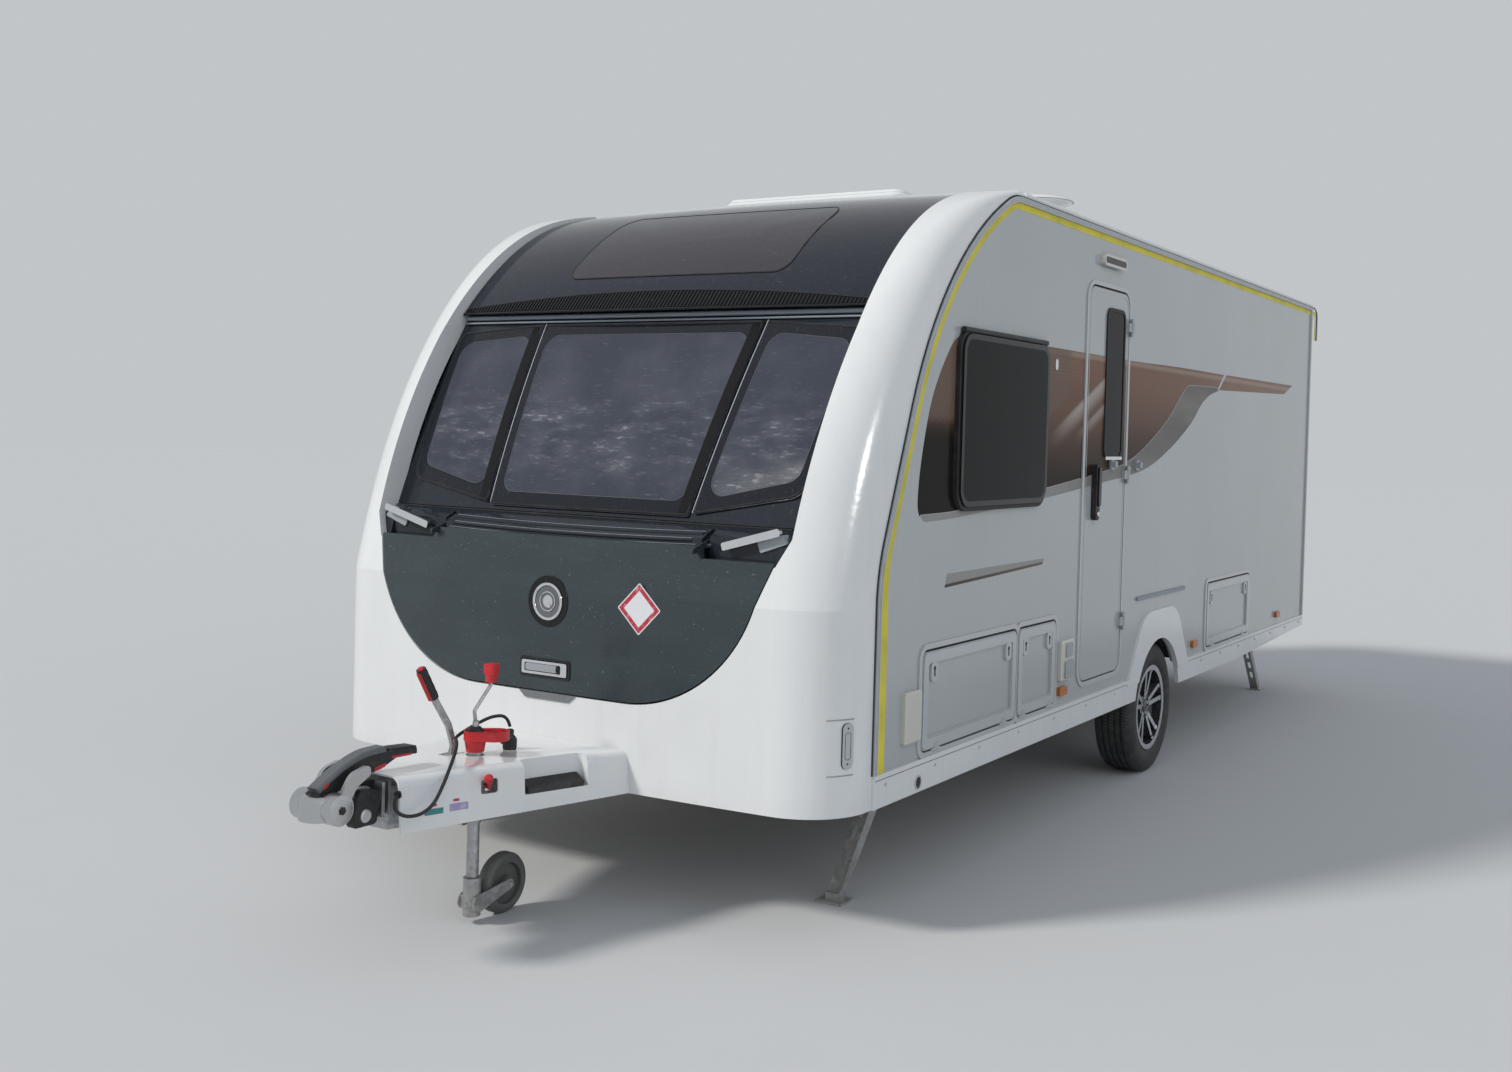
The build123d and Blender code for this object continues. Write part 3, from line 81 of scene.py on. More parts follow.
# Front windows: corners in (x, z) with their radii, left, middle and right
front_glass = [
    [(-0.887, 1.408, 0.060), (-0.941, 1.990, 0.030), (-0.525, 2.020, 0.012), (-0.466, 1.330, 0.012)],
    [(-0.452, 1.322, 0.012), (-0.511, 2.020, 0.012), (0.511, 2.020, 0.012), (0.452, 1.322, 0.012)],
    [(0.466, 1.330, 0.012), (0.525, 2.020, 0.012), (0.941, 1.990, 0.030), (0.887, 1.408, 0.060)],
]

# The gas locker lid's edge in (x, z), from one notch round the bottom to the other
lid_edge = [(-0.880, 1.198, 0), (-0.700, 0.700, 0.52), (0.700, 0.700, 0.52), (0.880, 1.198, 0)]


# Shader building
class Value:
    """A socket that takes part in arithmetic: each operation adds the Math node that it stands for."""

    def __init__(self, surface, socket):
        self.surface = surface
        self.socket = socket

    def math(self, operation, *items):
        return self.surface.node("Math", dict(enumerate(items)), operation=operation)

    def __add__(self, other):
        return self.math("ADD", self, other)

    def __sub__(self, other):
        return self.math("SUBTRACT", self, other)

    def __rsub__(self, other):
        return self.math("SUBTRACT", other, self)

    def __mul__(self, other):
        return self.math("MULTIPLY", self, other)

    def __truediv__(self, other):
        return self.math("DIVIDE", self, other)

    def __pow__(self, other):
        return self.math("POWER", self, other)

    def __mod__(self, other):
        return self.math("FLOORED_MODULO", self, other)

    def __gt__(self, other):
        return self.math("GREATER_THAN", self, other)

    def __lt__(self, other):
        return self.math("LESS_THAN", self, other)

    def __abs__(self):
        return self.math("ABSOLUTE", self)

    __radd__ = __add__
    __rmul__ = __mul__

    def least(self, other):
        return self.math("MINIMUM", self, other)

    def rise(self, low, high):
        """0 below low, 1 above high and smooth between; the other way round when low is the larger."""
        return self.surface.node("MapRange", {0: self, 1: low, 2: high}, interpolation_type="SMOOTHSTEP")


class Surface:
    """One material and the nodes that make it."""

    def __init__(self, name):
        self.material = bpy.data.materials.new(name)
        self.material.use_nodes = True
        self.tree = self.material.node_tree
        self.shader = self.tree.nodes["Principled BSDF"]
        self.place = self.node("TexCoord", output="Object")
        split = self.tree.nodes.new("ShaderNodeSeparateXYZ")
        self.feed(split.inputs[0], self.place)
        self.x, self.y, self.z = (Value(self, socket) for socket in split.outputs)

    def feed(self, socket, item):
        if isinstance(item, Value):
            self.tree.links.new(item.socket, socket)
        else:
            socket.default_value = item

    def node(self, kind, inputs=None, output=0, **settings):
        made = self.tree.nodes.new("ShaderNode" + kind)
        for key, item in settings.items():
            setattr(made, key, item)
        for key, item in (inputs or {}).items():
            self.feed(made.inputs[key], item)
        return Value(self, made.outputs[output])

    def stretched(self, scale, turn=(0, 0, 0)):
        return self.node("Mapping", {"Vector": self.place, "Scale": scale, "Rotation": turn})

    def noise(self, scale, detail=3.0, stretch=None, roughness=0.5):
        where = self.stretched(stretch) if stretch else self.place
        inputs = {"Vector": where, "Scale": scale, "Detail": detail, "Roughness": roughness}
        return self.node("TexNoise", inputs)

    def cells(self, scale, feature="DISTANCE_TO_EDGE", stretch=None):
        where = self.stretched(stretch) if stretch else self.place
        return self.node("TexVoronoi", {"Vector": where, "Scale": scale}, feature=feature)

    def mix(self, factor, first, second):
        return self.node("Mix", {0: factor, 6: first, 7: second}, output=2, data_type="RGBA")

    def tint(self, colour, shade, factor):
        """A colour that goes to another brightness of itself by a factor."""
        other = tuple(min(1.0, part * shade) for part in colour[:3]) + (1.0,)
        return self.mix(factor, tuple(colour[:3]) + (1.0,), other)

    def bump(self, height, distance, normal=None):
        inputs = {"Height": height, "Distance": distance}
        if normal:
            inputs["Normal"] = normal
        return self.node("Bump", inputs)

    def done(self, colour, roughness, metallic=None, normal=None, **shine):
        self.feed(self.shader.inputs["Base Color"], colour)
        self.feed(self.shader.inputs["Roughness"], roughness)
        if metallic is not None:
            self.feed(self.shader.inputs["Metallic"], metallic)
        if normal is not None:
            self.feed(self.shader.inputs["Normal"], normal)
        for key, item in shine.items():
            self.shader.inputs[key.replace("_", " ")].default_value = item
        return self.material


def rgb(red, green, blue):
    return (red, green, blue, 1.0)


def gloss_moulding(name, colour, dirt=0.5):
    """Gloss moulded plastic with faint run marks, dust in its low parts and a soft ripple."""
    s = Surface(name)
    streaks = s.noise(3.0, 4.0, (9.0, 9.0, 0.7)).rise(0.45, 0.8)
    mottle = s.noise(2.2, 5.0).rise(0.3, 0.75)
    low = (s.z + s.noise(7.0, 4.0) * 0.25).rise(0.62, 0.36)
    grime = (streaks * 0.25 + low * 0.75) * dirt
    base = s.mix(grime * 0.5, s.tint(colour, 0.95, mottle), rgb(0.42, 0.39, 0.34))
    ripple = s.noise(34.0, 1.0)
    rough = s.noise(60.0, 3.0) * 0.08 + grime * 0.3 + 0.14
    return s.done(base, rough, normal=s.bump(ripple, 0.0003), Coat_Weight=0.5, Coat_Roughness=0.08, IOR=1.5)


def gloss_sheet():
    """The side walls' painted sheet: nearly flat, with long shallow waves and fine vertical run marks."""
    s = Surface("gloss_sheet")
    runs = s.noise(5.0, 5.0, (1.0, 12.0, 0.35)).rise(0.5, 0.78)
    drift = s.noise(0.9, 3.0).rise(0.3, 0.7)
    low = (s.z + s.noise(6.0, 4.0) * 0.3).rise(0.85, 0.55)
    base = s.mix(drift * 0.6, rgb(0.44, 0.465, 0.465), rgb(0.395, 0.42, 0.42))
    base = s.mix(runs * 0.22 + low * 0.25, base, rgb(0.38, 0.375, 0.34))
    waves = s.noise(1.6, 2.0, (1.0, 1.0, 0.5)) + s.noise(9.0, 1.0) * 0.06
    rough = runs * 0.12 + s.noise(80.0, 2.0) * 0.05 + 0.1
    return s.done(base, rough, normal=s.bump(waves, 0.004), Coat_Weight=0.3, Coat_Roughness=0.05, IOR=1.45)


def dark_gloss(name, colour, scratch=0.5):
    """Dark gloss panel with hairline scratches, dust and a few drip marks."""
    s = Surface(name)
    hair = s.noise(18.0, 6.0, (1.0, 1.0, 14.0)).rise(0.62, 0.72)
    dust = s.noise(420.0, 2.0).rise(0.66, 0.8)
    drips = s.noise(14.0, 3.0, (6.0, 6.0, 0.8)).rise(0.6, 0.85)
    base = s.mix(hair * 0.12 * scratch + dust * 0.25 + drips * 0.1, colour, rgb(0.36, 0.38, 0.42))
    rough = hair * 0.14 + dust * 0.3 + drips * 0.12 + 0.07
    ripple = s.noise(12.0, 1.0)
    return s.done(base, rough, normal=s.bump(ripple, 0.0006), Coat_Weight=0.1, Coat_Roughness=0.05,
                  Specular_IOR_Level=0.3)


def lid_weave():
    """The gas locker lid: dark grey-blue gloss over a very fine rib that runs slightly off level."""
    s = Surface("lid_ribbed_gloss")
    slant = s.z + s.x * 0.05
    rib = abs((slant * 190.0) % 1.0 - 0.5)
    patch = s.noise(4.0, 4.0, (1.0, 1.0, 2.5)).rise(0.35, 0.75)
    spots = s.noise(90.0, 4.0).rise(0.68, 0.75)
    scuff = s.noise(16.0, 6.0, (3.0, 1.0, 12.0)).rise(0.6, 0.75)
    base = s.mix(rib * 0.5 + patch * 0.3, rgb(0.019, 0.030, 0.036), rgb(0.037, 0.055, 0.063))
    base = s.mix(spots * 0.4 + scuff * 0.12, base, rgb(0.3, 0.33, 0.36))
    rough = rib * 0.12 + patch * 0.08 + spots * 0.3 + 0.2
    return s.done(base, rough, normal=s.bump(rib, 0.0004), Coat_Weight=0.45, Coat_Roughness=0.16, IOR=1.5)


def tinted_glass(name, colour, through, level, smear=0.0):
    """Tinted acrylic with fine wiping scratches, a little dust and, in front, smears across its middle."""
    s = Surface(name)
    wipe = s.noise(26.0, 8.0, (1.0, 9.0, 2.0)).rise(0.6, 0.74)
    dust = s.noise(500.0, 2.0).rise(0.7, 0.85)
    cloud = s.noise(5.0, 5.0).rise(0.35, 0.8)
    band = s.z.rise(1.40, 1.52) * s.z.rise(1.80, 1.64) * s.noise(7.0, 5.0, (1.0, 1.0, 3.0)).rise(0.42, 0.7)
    rain = s.noise(24.0, 8.0, (1.0, 1.0, 4.0)).rise(0.52, 0.72)
    marks = (band * rain + s.noise(22.0, 7.0, (0.8, 1.0, 5.0)).rise(0.66, 0.74) * band) * smear
    haze = (wipe * 0.1 + dust * 0.2) * (smear * 0.8 + 0.2) + cloud * 0.06 * smear
    base = s.mix(haze, colour, rgb(0.5, 0.52, 0.56))
    base = s.mix((marks * 0.30 + band * 0.07 * smear).least(1.0), base, rgb(0.55, 0.57, 0.62))
    rough = wipe * 0.12 + dust * 0.25 + marks * 0.2 + 0.04
    wave = s.noise(3.0, 2.0)
    return s.done(base, rough, normal=s.bump(wave, 0.0012), Transmission_Weight=through, IOR=1.38,
                  Specular_IOR_Level=level)


def bright_metal(name, colour, rough=0.12, brushed=(1.0, 1.0, 30.0), wear=0.3):
    """Polished or brushed metal with a grain, small pits and duller patches."""
    s = Surface(name)
    grain = s.noise(40.0, 4.0, brushed)
    dull = s.noise(9.0, 5.0).rise(0.45, 0.75)
    pits = s.noise(160.0, 3.0).rise(0.66, 0.74)
    base = s.mix(dull * wear, colour, rgb(0.32, 0.31, 0.30))
    base = s.mix(pits * wear, base, rgb(0.16, 0.13, 0.1))
    roughness = grain * 0.14 + dull * 0.25 * wear + pits * 0.3 + rough
    return s.done(base, roughness, metallic=1.0 - pits * 0.5, normal=s.bump(grain - pits * 0.6, 0.0002))


def galvanised_steel():
    """Hot dipped zinc: large dull and bright crystals, white bloom and road dirt low down."""
    s = Surface("galvanised_steel")
    spangle = s.node("TexVoronoi", {"Vector": s.place, "Scale": 70.0}, output=1)
    shade = s.node("SeparateColor", {0: spangle})
    bloom = s.noise(12.0, 6.0).rise(0.5, 0.75)
    dirt = (s.z + s.noise(9.0, 4.0) * 0.2).rise(0.5, 0.1)
    base = s.mix(shade * 0.8, rgb(0.36, 0.37, 0.38), rgb(0.56, 0.575, 0.58))
    base = s.mix(bloom * 0.35, base, rgb(0.62, 0.62, 0.60))
    base = s.mix(dirt * 0.35, base, rgb(0.24, 0.21, 0.17))
    rough = shade * 0.18 + bloom * 0.25 + 0.36
    return s.done(base, rough, metallic=0.85 - bloom * 0.5 - dirt * 0.2,
                  normal=s.bump(shade * 0.5 + bloom, 0.0003))


def moulded_plastic(name, colour, rough=0.45, fade=0.35, grain=420.0):
    """Textured moulded plastic that has faded a little and holds dust in its grain."""
    s = Surface(name)
    tooth = s.cells(grain, "F1")
    faded = s.noise(8.0, 5.0).rise(0.35, 0.75)
    dust = s.noise(50.0, 5.0).rise(0.55, 0.8)
    base = s.tint(colour, 1.5, faded * fade)
    base = s.mix(dust * 0.12, base, rgb(0.45, 0.42, 0.38))
    roughness = faded * 0.12 + dust * 0.12 + rough
    return s.done(base, roughness, normal=s.bump(tooth, 0.00005), IOR=1.47)


def black_rubber(name, colour=(0.02, 0.02, 0.021, 1.0), dust=0.5):
    s = Surface(name)
    bloom = s.noise(14.0, 6.0).rise(0.4, 0.75)
    grit = s.noise(220.0, 4.0).rise(0.58, 0.75)
    base = s.mix(bloom * 0.25 * dust, colour, rgb(0.16, 0.155, 0.15))
    base = s.mix(grit * 0.35 * dust, base, rgb(0.3, 0.27, 0.23))
    return s.done(base, bloom * 0.15 + 0.55, normal=s.bump(grit + bloom * 0.5, 0.0003), IOR=1.5,
                  Specular_IOR_Level=0.4)


def tyre_rubber():
    """Tyre rubber: grey dust on the tread, sipes across it painted near black as shade, fine rings and ribs on
    the sidewall.
    """
    s = Surface("tyre_rubber")
    up = s.z - wheel_z
    along = s.y - wheel_y
    radius = (up * up + along * along) ** 0.5
    turn = s.node("Math", {0: along, 1: up}, operation="ARCTAN2")
    tread = radius.rise(tyre_radius - 0.012, tyre_radius - 0.006)
    lean = abs(s.x) * 14.0
    sipe_with_shade = abs((turn * 20.0 + lean) % 1.0 - 0.5).rise(0.40, 0.47) * tread
    rings = abs((radius * 90.0) % 1.0 - 0.5).rise(0.40, 0.46) * (1.0 - tread)
    rays = abs((turn * 28.0) % 1.0 - 0.5) * radius.rise(0.262, 0.268) * (1.0 - tread)
    dust = s.noise(26.0, 5.0).rise(0.35, 0.75)
    base = s.mix(dust * 0.35 + tread * 0.25, rgb(0.018, 0.018, 0.019), rgb(0.11, 0.105, 0.1))
    # Painted shade: the sipes go near black, darker than the rubber itself.
    base = s.mix(sipe_with_shade, base, rgb(0.006, 0.006, 0.006))
    relief = s.noise(300.0, 3.0) * 0.1 + rings * 0.4 + rays * 0.5 - sipe_with_shade * 2.0
    return s.done(base, dust * 0.1 + tread * 0.1 + 0.62, normal=s.bump(relief, 0.0016), IOR=1.5)


def turned_alloy():
    """Wheel finish: bright turned faces on the spokes and rim, dark paint in the pockets, brake dust."""
    s = Surface("turned_alloy")
    normal = s.node("NewGeometry", output="Normal")
    facing = abs(s.node("SeparateXYZ", {0: normal}))
    up = s.z - wheel_z
    along = s.y - wheel_y
    radius = (up * up + along * along) ** 0.5
    outer = (abs(s.x) - (tyre_outer_x - 0.055)).rise(0.0, 0.01)
    bright = facing.rise(0.78, 0.9) * outer * radius.rise(0.052, 0.058)
    rings = abs((radius * 900.0) % 1.0 - 0.5)
    dust = s.noise(30.0, 5.0).rise(0.4, 0.8)
    base = s.mix(bright, rgb(0.035, 0.037, 0.042), rgb(0.66, 0.67, 0.69))
    base = s.mix(dust * 0.3, base, rgb(0.1, 0.085, 0.07))
    return s.done(base, rings * 0.1 + dust * 0.2 + 0.2, metallic=bright * 0.9,
                  normal=s.bump(rings * bright, 0.00012), Coat_Weight=0.4, Coat_Roughness=0.1)


def swoosh_brown():
    """The side graphic: cells at its front, fine lines by the window, bright flashes on a brown fade."""
    s = Surface("graphic_brown")
    rise = s.z - 1.62 - (s.y + 0.93) * 0.42
    grain = s.noise(3.0, 3.0, (1.0, 0.3, 2.0)) * 0.12
    fade = (s.z + grain).rise(1.46, 2.02)
    base = s.mix(fade, rgb(0.016, 0.011, 0.008), rgb(0.215, 0.118, 0.082))
    base = s.mix(s.y.rise(-1.70, -1.90) * s.z.rise(1.72, 1.60), base, rgb(0.011, 0.011, 0.008))
    base = s.mix(s.y.rise(1.0, 1.7) * 0.7, base, rgb(0.27, 0.155, 0.11))
    base = s.mix(s.z.rise(1.962, 1.980) * s.z.rise(1.998, 1.985) * 0.5, base, rgb(0.42, 0.33, 0.28))
    front = s.y.rise(-1.80, -1.84) * s.z.rise(1.66, 1.70)
    behind = s.y.rise(-1.04, -1.0) * s.y.rise(-0.70, -0.80) * rise.rise(0.10, 0.13)
    comb = s.cells(62.0, stretch=(0.0, 1.0, 1.15)).rise(0.03, 0.08)
    base = s.mix(((front + behind) * (comb * 0.5 + 0.4)).least(1.0), base, rgb(0.165, 0.115, 0.092))
    lines = abs((s.z * 66.0) % 1.0 - 0.5).rise(0.30, 0.42) * s.z.rise(1.86, 1.89) * s.y.rise(-0.59, -0.66)
    base = s.mix(lines * 0.55 * s.y.rise(-1.04, -1.02), base, rgb(0.24, 0.15, 0.11))
    flash = rise.rise(-0.07, 0.02) * rise.rise(0.045, 0.02) * s.y.rise(-1.0, -0.6) * s.y.rise(-0.16, -0.42)
    second = (rise + 0.1).rise(-0.05, 0.01) * (rise + 0.1).rise(0.03, 0.01) * s.y.rise(-0.7, -0.45)
    second = second * s.y.rise(-0.1, -0.38)
    base = s.mix((flash * 0.8 + second * 0.55).least(1.0), base, rgb(0.46, 0.41, 0.37))
    wear = s.noise(60.0, 4.0) * 0.1 + 0.14
    return s.done(base, wear, normal=s.bump(comb * (front + behind), 0.0001), Specular_IOR_Level=0.05)


def swoosh_silver():
    """The graphic's lower edge: silver over grey, darkening to a line at its bottom."""
    s = Surface("graphic_silver")
    fade = s.y.rise(-1.6, 0.9)
    sheen = s.noise(2.0, 3.0, (1.0, 0.6, 3.0)).rise(0.3, 0.7)
    base = s.mix(fade, rgb(0.27, 0.265, 0.255), rgb(0.135, 0.122, 0.112))
    base = s.mix(sheen * 0.3, base, rgb(0.36, 0.35, 0.335))
    return s.done(base, s.noise(70.0, 3.0) * 0.1 + 0.3, Specular_IOR_Level=0.15)


def slash_bronze():
    s = Surface("graphic_bronze")
    lower = (s.z - 1.112 - (s.y + 1.45) * 0.03).rise(0.002, -0.002)
    base = s.mix(lower, rgb(0.30, 0.29, 0.275), rgb(0.055, 0.036, 0.026))
    base = s.mix(s.y.rise(-1.9, -0.95) * 0.6 * lower, base, rgb(0.15, 0.1, 0.07))
    return s.done(base, s.noise(80.0, 3.0) * 0.1 + 0.2, Specular_IOR_Level=0.2)


def tape_yellow():
    s = Surface("edge_tape_yellow")
    wrinkle = s.noise(30.0, 6.0, (1.0, 1.0, 3.0))
    shade = s.noise(6.0, 4.0).rise(0.3, 0.8)
    base = s.mix(shade, rgb(0.74, 0.63, 0.04), rgb(0.52, 0.47, 0.05))
    return s.done(base, wrinkle * 0.2 + 0.45, normal=s.bump(wrinkle, 0.0006))


def lens(name, colour):
    """Ribbed lamp lens."""
    s = Surface(name)
    rib = abs((s.z * 160.0) % 1.0 - 0.5) + abs((s.y * 160.0) % 1.0 - 0.5)
    scratch = s.noise(90.0, 5.0).rise(0.6, 0.8)
    bright = rgb(*[min(1.0, part * 1.9 + 0.04) for part in colour[:3]])
    base = s.mix(rib * 0.3 + scratch * 0.1, colour, bright)
    return s.done(base, scratch * 0.2 + 0.08, normal=s.bump(rib, 0.0008), Transmission_Weight=0.3, IOR=1.49)


def board():
    """Interior laminate with a faint wood figure."""
    s = Surface("interior_board")
    figure = s.noise(6.0, 6.0, (1.0, 8.0, 1.0))
    base = s.mix(figure.rise(0.35, 0.7), rgb(0.42, 0.37, 0.31), rgb(0.56, 0.51, 0.45))
    return s.done(base, s.noise(40.0, 3.0) * 0.2 + 0.4, normal=s.bump(figure, 0.0003))


def blind_cloth():
    """Pleated blinds behind the front windows, with painted shade lighter and darker across each fold."""
    s = Surface("blind_cloth")
    pleat_fold_and_shade = abs((s.z * 45.0) % 1.0 - 0.5)
    # Painted shade: the colour goes lighter and darker with the pleats' fold wave.
    base = s.mix(pleat_fold_and_shade * 1.6, rgb(0.20, 0.20, 0.26), rgb(0.36, 0.35, 0.42))
    return s.done(base, s.noise(300.0, 2.0) * 0.1 + 0.8, normal=s.bump(pleat_fold_and_shade, 0.004))


def sticker_paper(name, colour):
    s = Surface(name)
    worn = s.noise(60.0, 5.0).rise(0.5, 0.75)
    base = s.mix(worn * 0.35, colour, rgb(0.75, 0.75, 0.74))
    return s.done(base, worn * 0.2 + 0.35)


white = gloss_moulding("white_moulding_gloss", rgb(0.745, 0.755, 0.755))
roof_white = gloss_moulding("roof_sheet_gloss", rgb(0.72, 0.74, 0.75), 0.8)
frame_white = gloss_moulding("frame_plastic_grey", rgb(0.47, 0.495, 0.505), 0.4)
cream = gloss_moulding("cover_plastic_cream", rgb(0.62, 0.60, 0.54), 0.4)
sheet = gloss_sheet()
upper_dark = dark_gloss("upper_panel_gloss", rgb(0.012, 0.014, 0.024))
shelf_dark = dark_gloss("shelf_gloss", rgb(0.02, 0.024, 0.032), 0.2)
seam_shade = moulded_plastic("moulding_seam_shade", rgb(0.30, 0.305, 0.31), 0.5, 0.1)
sunroof_tint = dark_gloss("sunroof_tint", rgb(0.036, 0.032, 0.040), 0.6)
lid_gloss = lid_weave()
front_tint = tinted_glass("front_window_tint", rgb(0.052, 0.058, 0.078), 0.10, 0.3, 1.0)
side_tint = tinted_glass("side_window_tint", rgb(0.007, 0.009, 0.008), 0.08, 0.1)
chrome = bright_metal("chrome_plate", rgb(0.82, 0.83, 0.85), 0.05, (1.0, 1.0, 1.0), 0.1)
satin = bright_metal("satin_aluminium", rgb(0.60, 0.62, 0.64), 0.3, (1.0, 40.0, 1.0), 0.2)
cast_silver = bright_metal("cast_silver", rgb(0.56, 0.565, 0.57), 0.26, (1.0, 1.0, 1.0), 0.35)
zinc = galvanised_steel()
rail_pale = moulded_plastic("rail_pale", rgb(0.50, 0.525, 0.54), 0.3, 0.15)
rail_grey = moulded_plastic("rail_grey", rgb(0.25, 0.285, 0.32), 0.35, 0.2)
black = moulded_plastic("black_plastic", rgb(0.016, 0.016, 0.017))
black_gloss = dark_gloss("black_gloss", rgb(0.008, 0.008, 0.009), 0.2)
pillar_black = black_rubber("pillar_black", rgb(0.003, 0.003, 0.004), 0.08)
border_navy = dark_gloss("border_navy", rgb(0.009, 0.011, 0.017), 0.2)
shell_grey = moulded_plastic("shell_grey", rgb(0.115, 0.12, 0.128), 0.38)
tab_grey = moulded_plastic("tab_grey", rgb(0.16, 0.168, 0.175), 0.42)
red = moulded_plastic("red_plastic", rgb(0.50, 0.022, 0.028), 0.36, 0.3)
clear = moulded_plastic("clear_block", rgb(0.34, 0.37, 0.385), 0.2, 0.1)
rubber = black_rubber("seal_rubber")
pad_rubber = black_rubber("step_pad_rubber", dust=0.8)
cable_rubber = black_rubber("cable_rubber", dust=0.2)
grey_rubber = black_rubber("grey_rubber", rgb(0.11, 0.108, 0.103), 1.0)
tyre_black = tyre_rubber()
alloy = turned_alloy()
brown = swoosh_brown()
silver = swoosh_silver()
silver_edge = moulded_plastic("graphic_edge_light", rgb(0.52, 0.50, 0.48), 0.3, 0.1)
bronze = slash_bronze()
yellow = tape_yellow()
red_lens = lens("lens_red", rgb(0.42, 0.01, 0.01))
amber_lens = lens("lens_amber", rgb(0.62, 0.17, 0.01))
clear_lens = lens("lens_clear", rgb(0.62, 0.63, 0.64))
laminate = board()
blind = blind_cloth()
paper = sticker_paper("sticker_white", rgb(0.70, 0.71, 0.74))
paper_green = sticker_paper("sticker_green", rgb(0.03, 0.22, 0.20))
paper_violet = sticker_paper("sticker_violet", rgb(0.34, 0.29, 0.50))
paper_red = sticker_paper("sticker_red", rgb(0.45, 0.03, 0.05))

node_finish = {
    white: ["front_moulding", "a_frame_fairing", "side_skirt_door_side", "side_skirt_off_side", "rear_panel",
            "aerial_dome", "rear_bumper", "rooflight"],
    frame_white: ["opening_frames"],
    cream: ["service_hatches"],
    roof_white: ["roof_panel"],
    sheet: ["side_wall_door_side", "side_wall_off_side", "entrance_door", "locker_door_front",
            "locker_door_middle", "locker_door_rear"],
    upper_dark: ["front_upper_panel"],
    shelf_dark: ["front_shelf", "front_inner_panel"],
    lid_gloss: ["gas_locker_lid"],
    front_tint: ["front_windows"],
    side_tint: ["side_windows", "entrance_door_window", "rear_window"],
    chrome: ["grab_handles"],
    rail_pale: ["awning_rails"],
    laminate: ["floor_panel", "gas_locker_box"],
    black: ["wheel_boxes", "stabiliser_handle", "tow_plug", "tow_cable_gland"],
    zinc: ["main_rails", "draw_bars", "cross_members", "steady_arms", "axle_beam", "jockey_outer_tube",
           "jockey_leg", "jockey_fork", "handbrake_lever", "steady_front_door_side", "steady_front_off_side",
           "steady_rear_door_side", "steady_rear_off_side"],
    cast_silver: ["coupling_head"],
    alloy: ["rim_door_side", "rim_off_side"],
    tyre_black: ["tyre_door_side", "tyre_off_side"],
    grey_rubber: ["jockey_wheel"],
    pad_rubber: ["fairing_step_pads"],
    cable_rubber: ["tow_cable"],
    red: ["jockey_collar", "jockey_clamp_lever"],
    red_lens: ["rear_lamps"],
}
for finish, names in node_finish.items():
    for name in names:
        nodes[name].data.materials.clear()
        nodes[name].data.materials.append(finish)


# Outlines in a plane
def rounded(corners, steps=6, close=True):
    """Points along an outline whose corners have radii, with an arc of a few steps at each."""
    points = []
    count = len(corners)
    for i, (u, v, radius) in enumerate(corners):
        here = Vector((u, v))
        if not radius or not (close or 0 < i < count - 1):
            points.append(here)
            continue
        back = (Vector(corners[i - 1][:2]) - here).normalized()
        ahead = (Vector(corners[(i + 1) % count][:2]) - here).normalized()
        half = back.angle(ahead) / 2
        middle = here + (back + ahead).normalized() * radius / sin(half)
        start = here + back * radius / tan(half) - middle
        end = here + ahead * radius / tan(half) - middle
        sweep = start.angle_signed(end)
        for k in range(steps + 1):
            turn = -sweep * k / steps
            points.append(middle + Vector((start.x * cos(turn) - start.y * sin(turn),
                                           start.x * sin(turn) + start.y * cos(turn))))
    return points


def box_outline(u0, u1, v0, v1, radius, steps=6):
    return rounded([(u0, v0, radius), (u1, v0, radius), (u1, v1, radius), (u0, v1, radius)], steps)


def around(half_u, half_v, radius, u=0.0, v=0.0, steps=6):
    """A rounded rectangle about a point."""
    return box_outline(u - half_u, u + half_u, v - half_v, v + half_v, radius, steps)


def edge_outline(door, grow_by, steps=8):
    """The outline of a door or pane (low and high u, low and high v, radius), made larger all round."""
    u0, u1, v0, v1, radius = door
    least_radius = 0.004
    edges = (u0 - grow_by, u1 + grow_by, v0 - grow_by, v1 + grow_by)
    return box_outline(*edges, max(radius + grow_by, least_radius), steps)


def bead_profile(radius, height, thick, tall, count):
    """A small oval section at a radius and a height, for a turned ring."""
    angles = [2 * pi * k / count for k in range(count)]
    return [(radius + thick * cos(a), height + tall * sin(a)) for a in angles]


def smooth_line(points, steps=8):
    """A smooth line through a few points."""
    spots = [Vector(point) for point in points]
    spots = [spots[0] * 2 - spots[1]] + spots + [spots[-1] * 2 - spots[-2]]
    line = []
    for a, b, c, d in zip(spots, spots[1:], spots[2:], spots[3:]):
        for k in range(steps):
            t = k / steps
            line.append(((b * 2) + (c - a) * t + (a * 2 - b * 5 + c * 4 - d) * t * t
                         + (b * 3 - a - c * 3 + d) * t * t * t) / 2)
    return line + [spots[-2]]


def paired(first, second, step=0.05):
    """Two outlines of as many points, with more points on their long runs, the same for both."""
    more = ([], [])
    for i in range(len(first)):
        k = (i + 1) % len(first)
        parts = max(1, int((first[k] - first[i]).length / step))
        for j in range(parts):
            for line, fuller in ((first, more[0]), (second, more[1])):
                fuller.append(line[i].lerp(line[k], j / parts))
    return more


# Pieces
def keep(name, data, body):
    """An object of mesh or curve data in the scene, on its body."""
    made = bpy.data.objects.new(name, data)
    bpy.context.scene.collection.objects.link(made)
    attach(made, body)
    return made


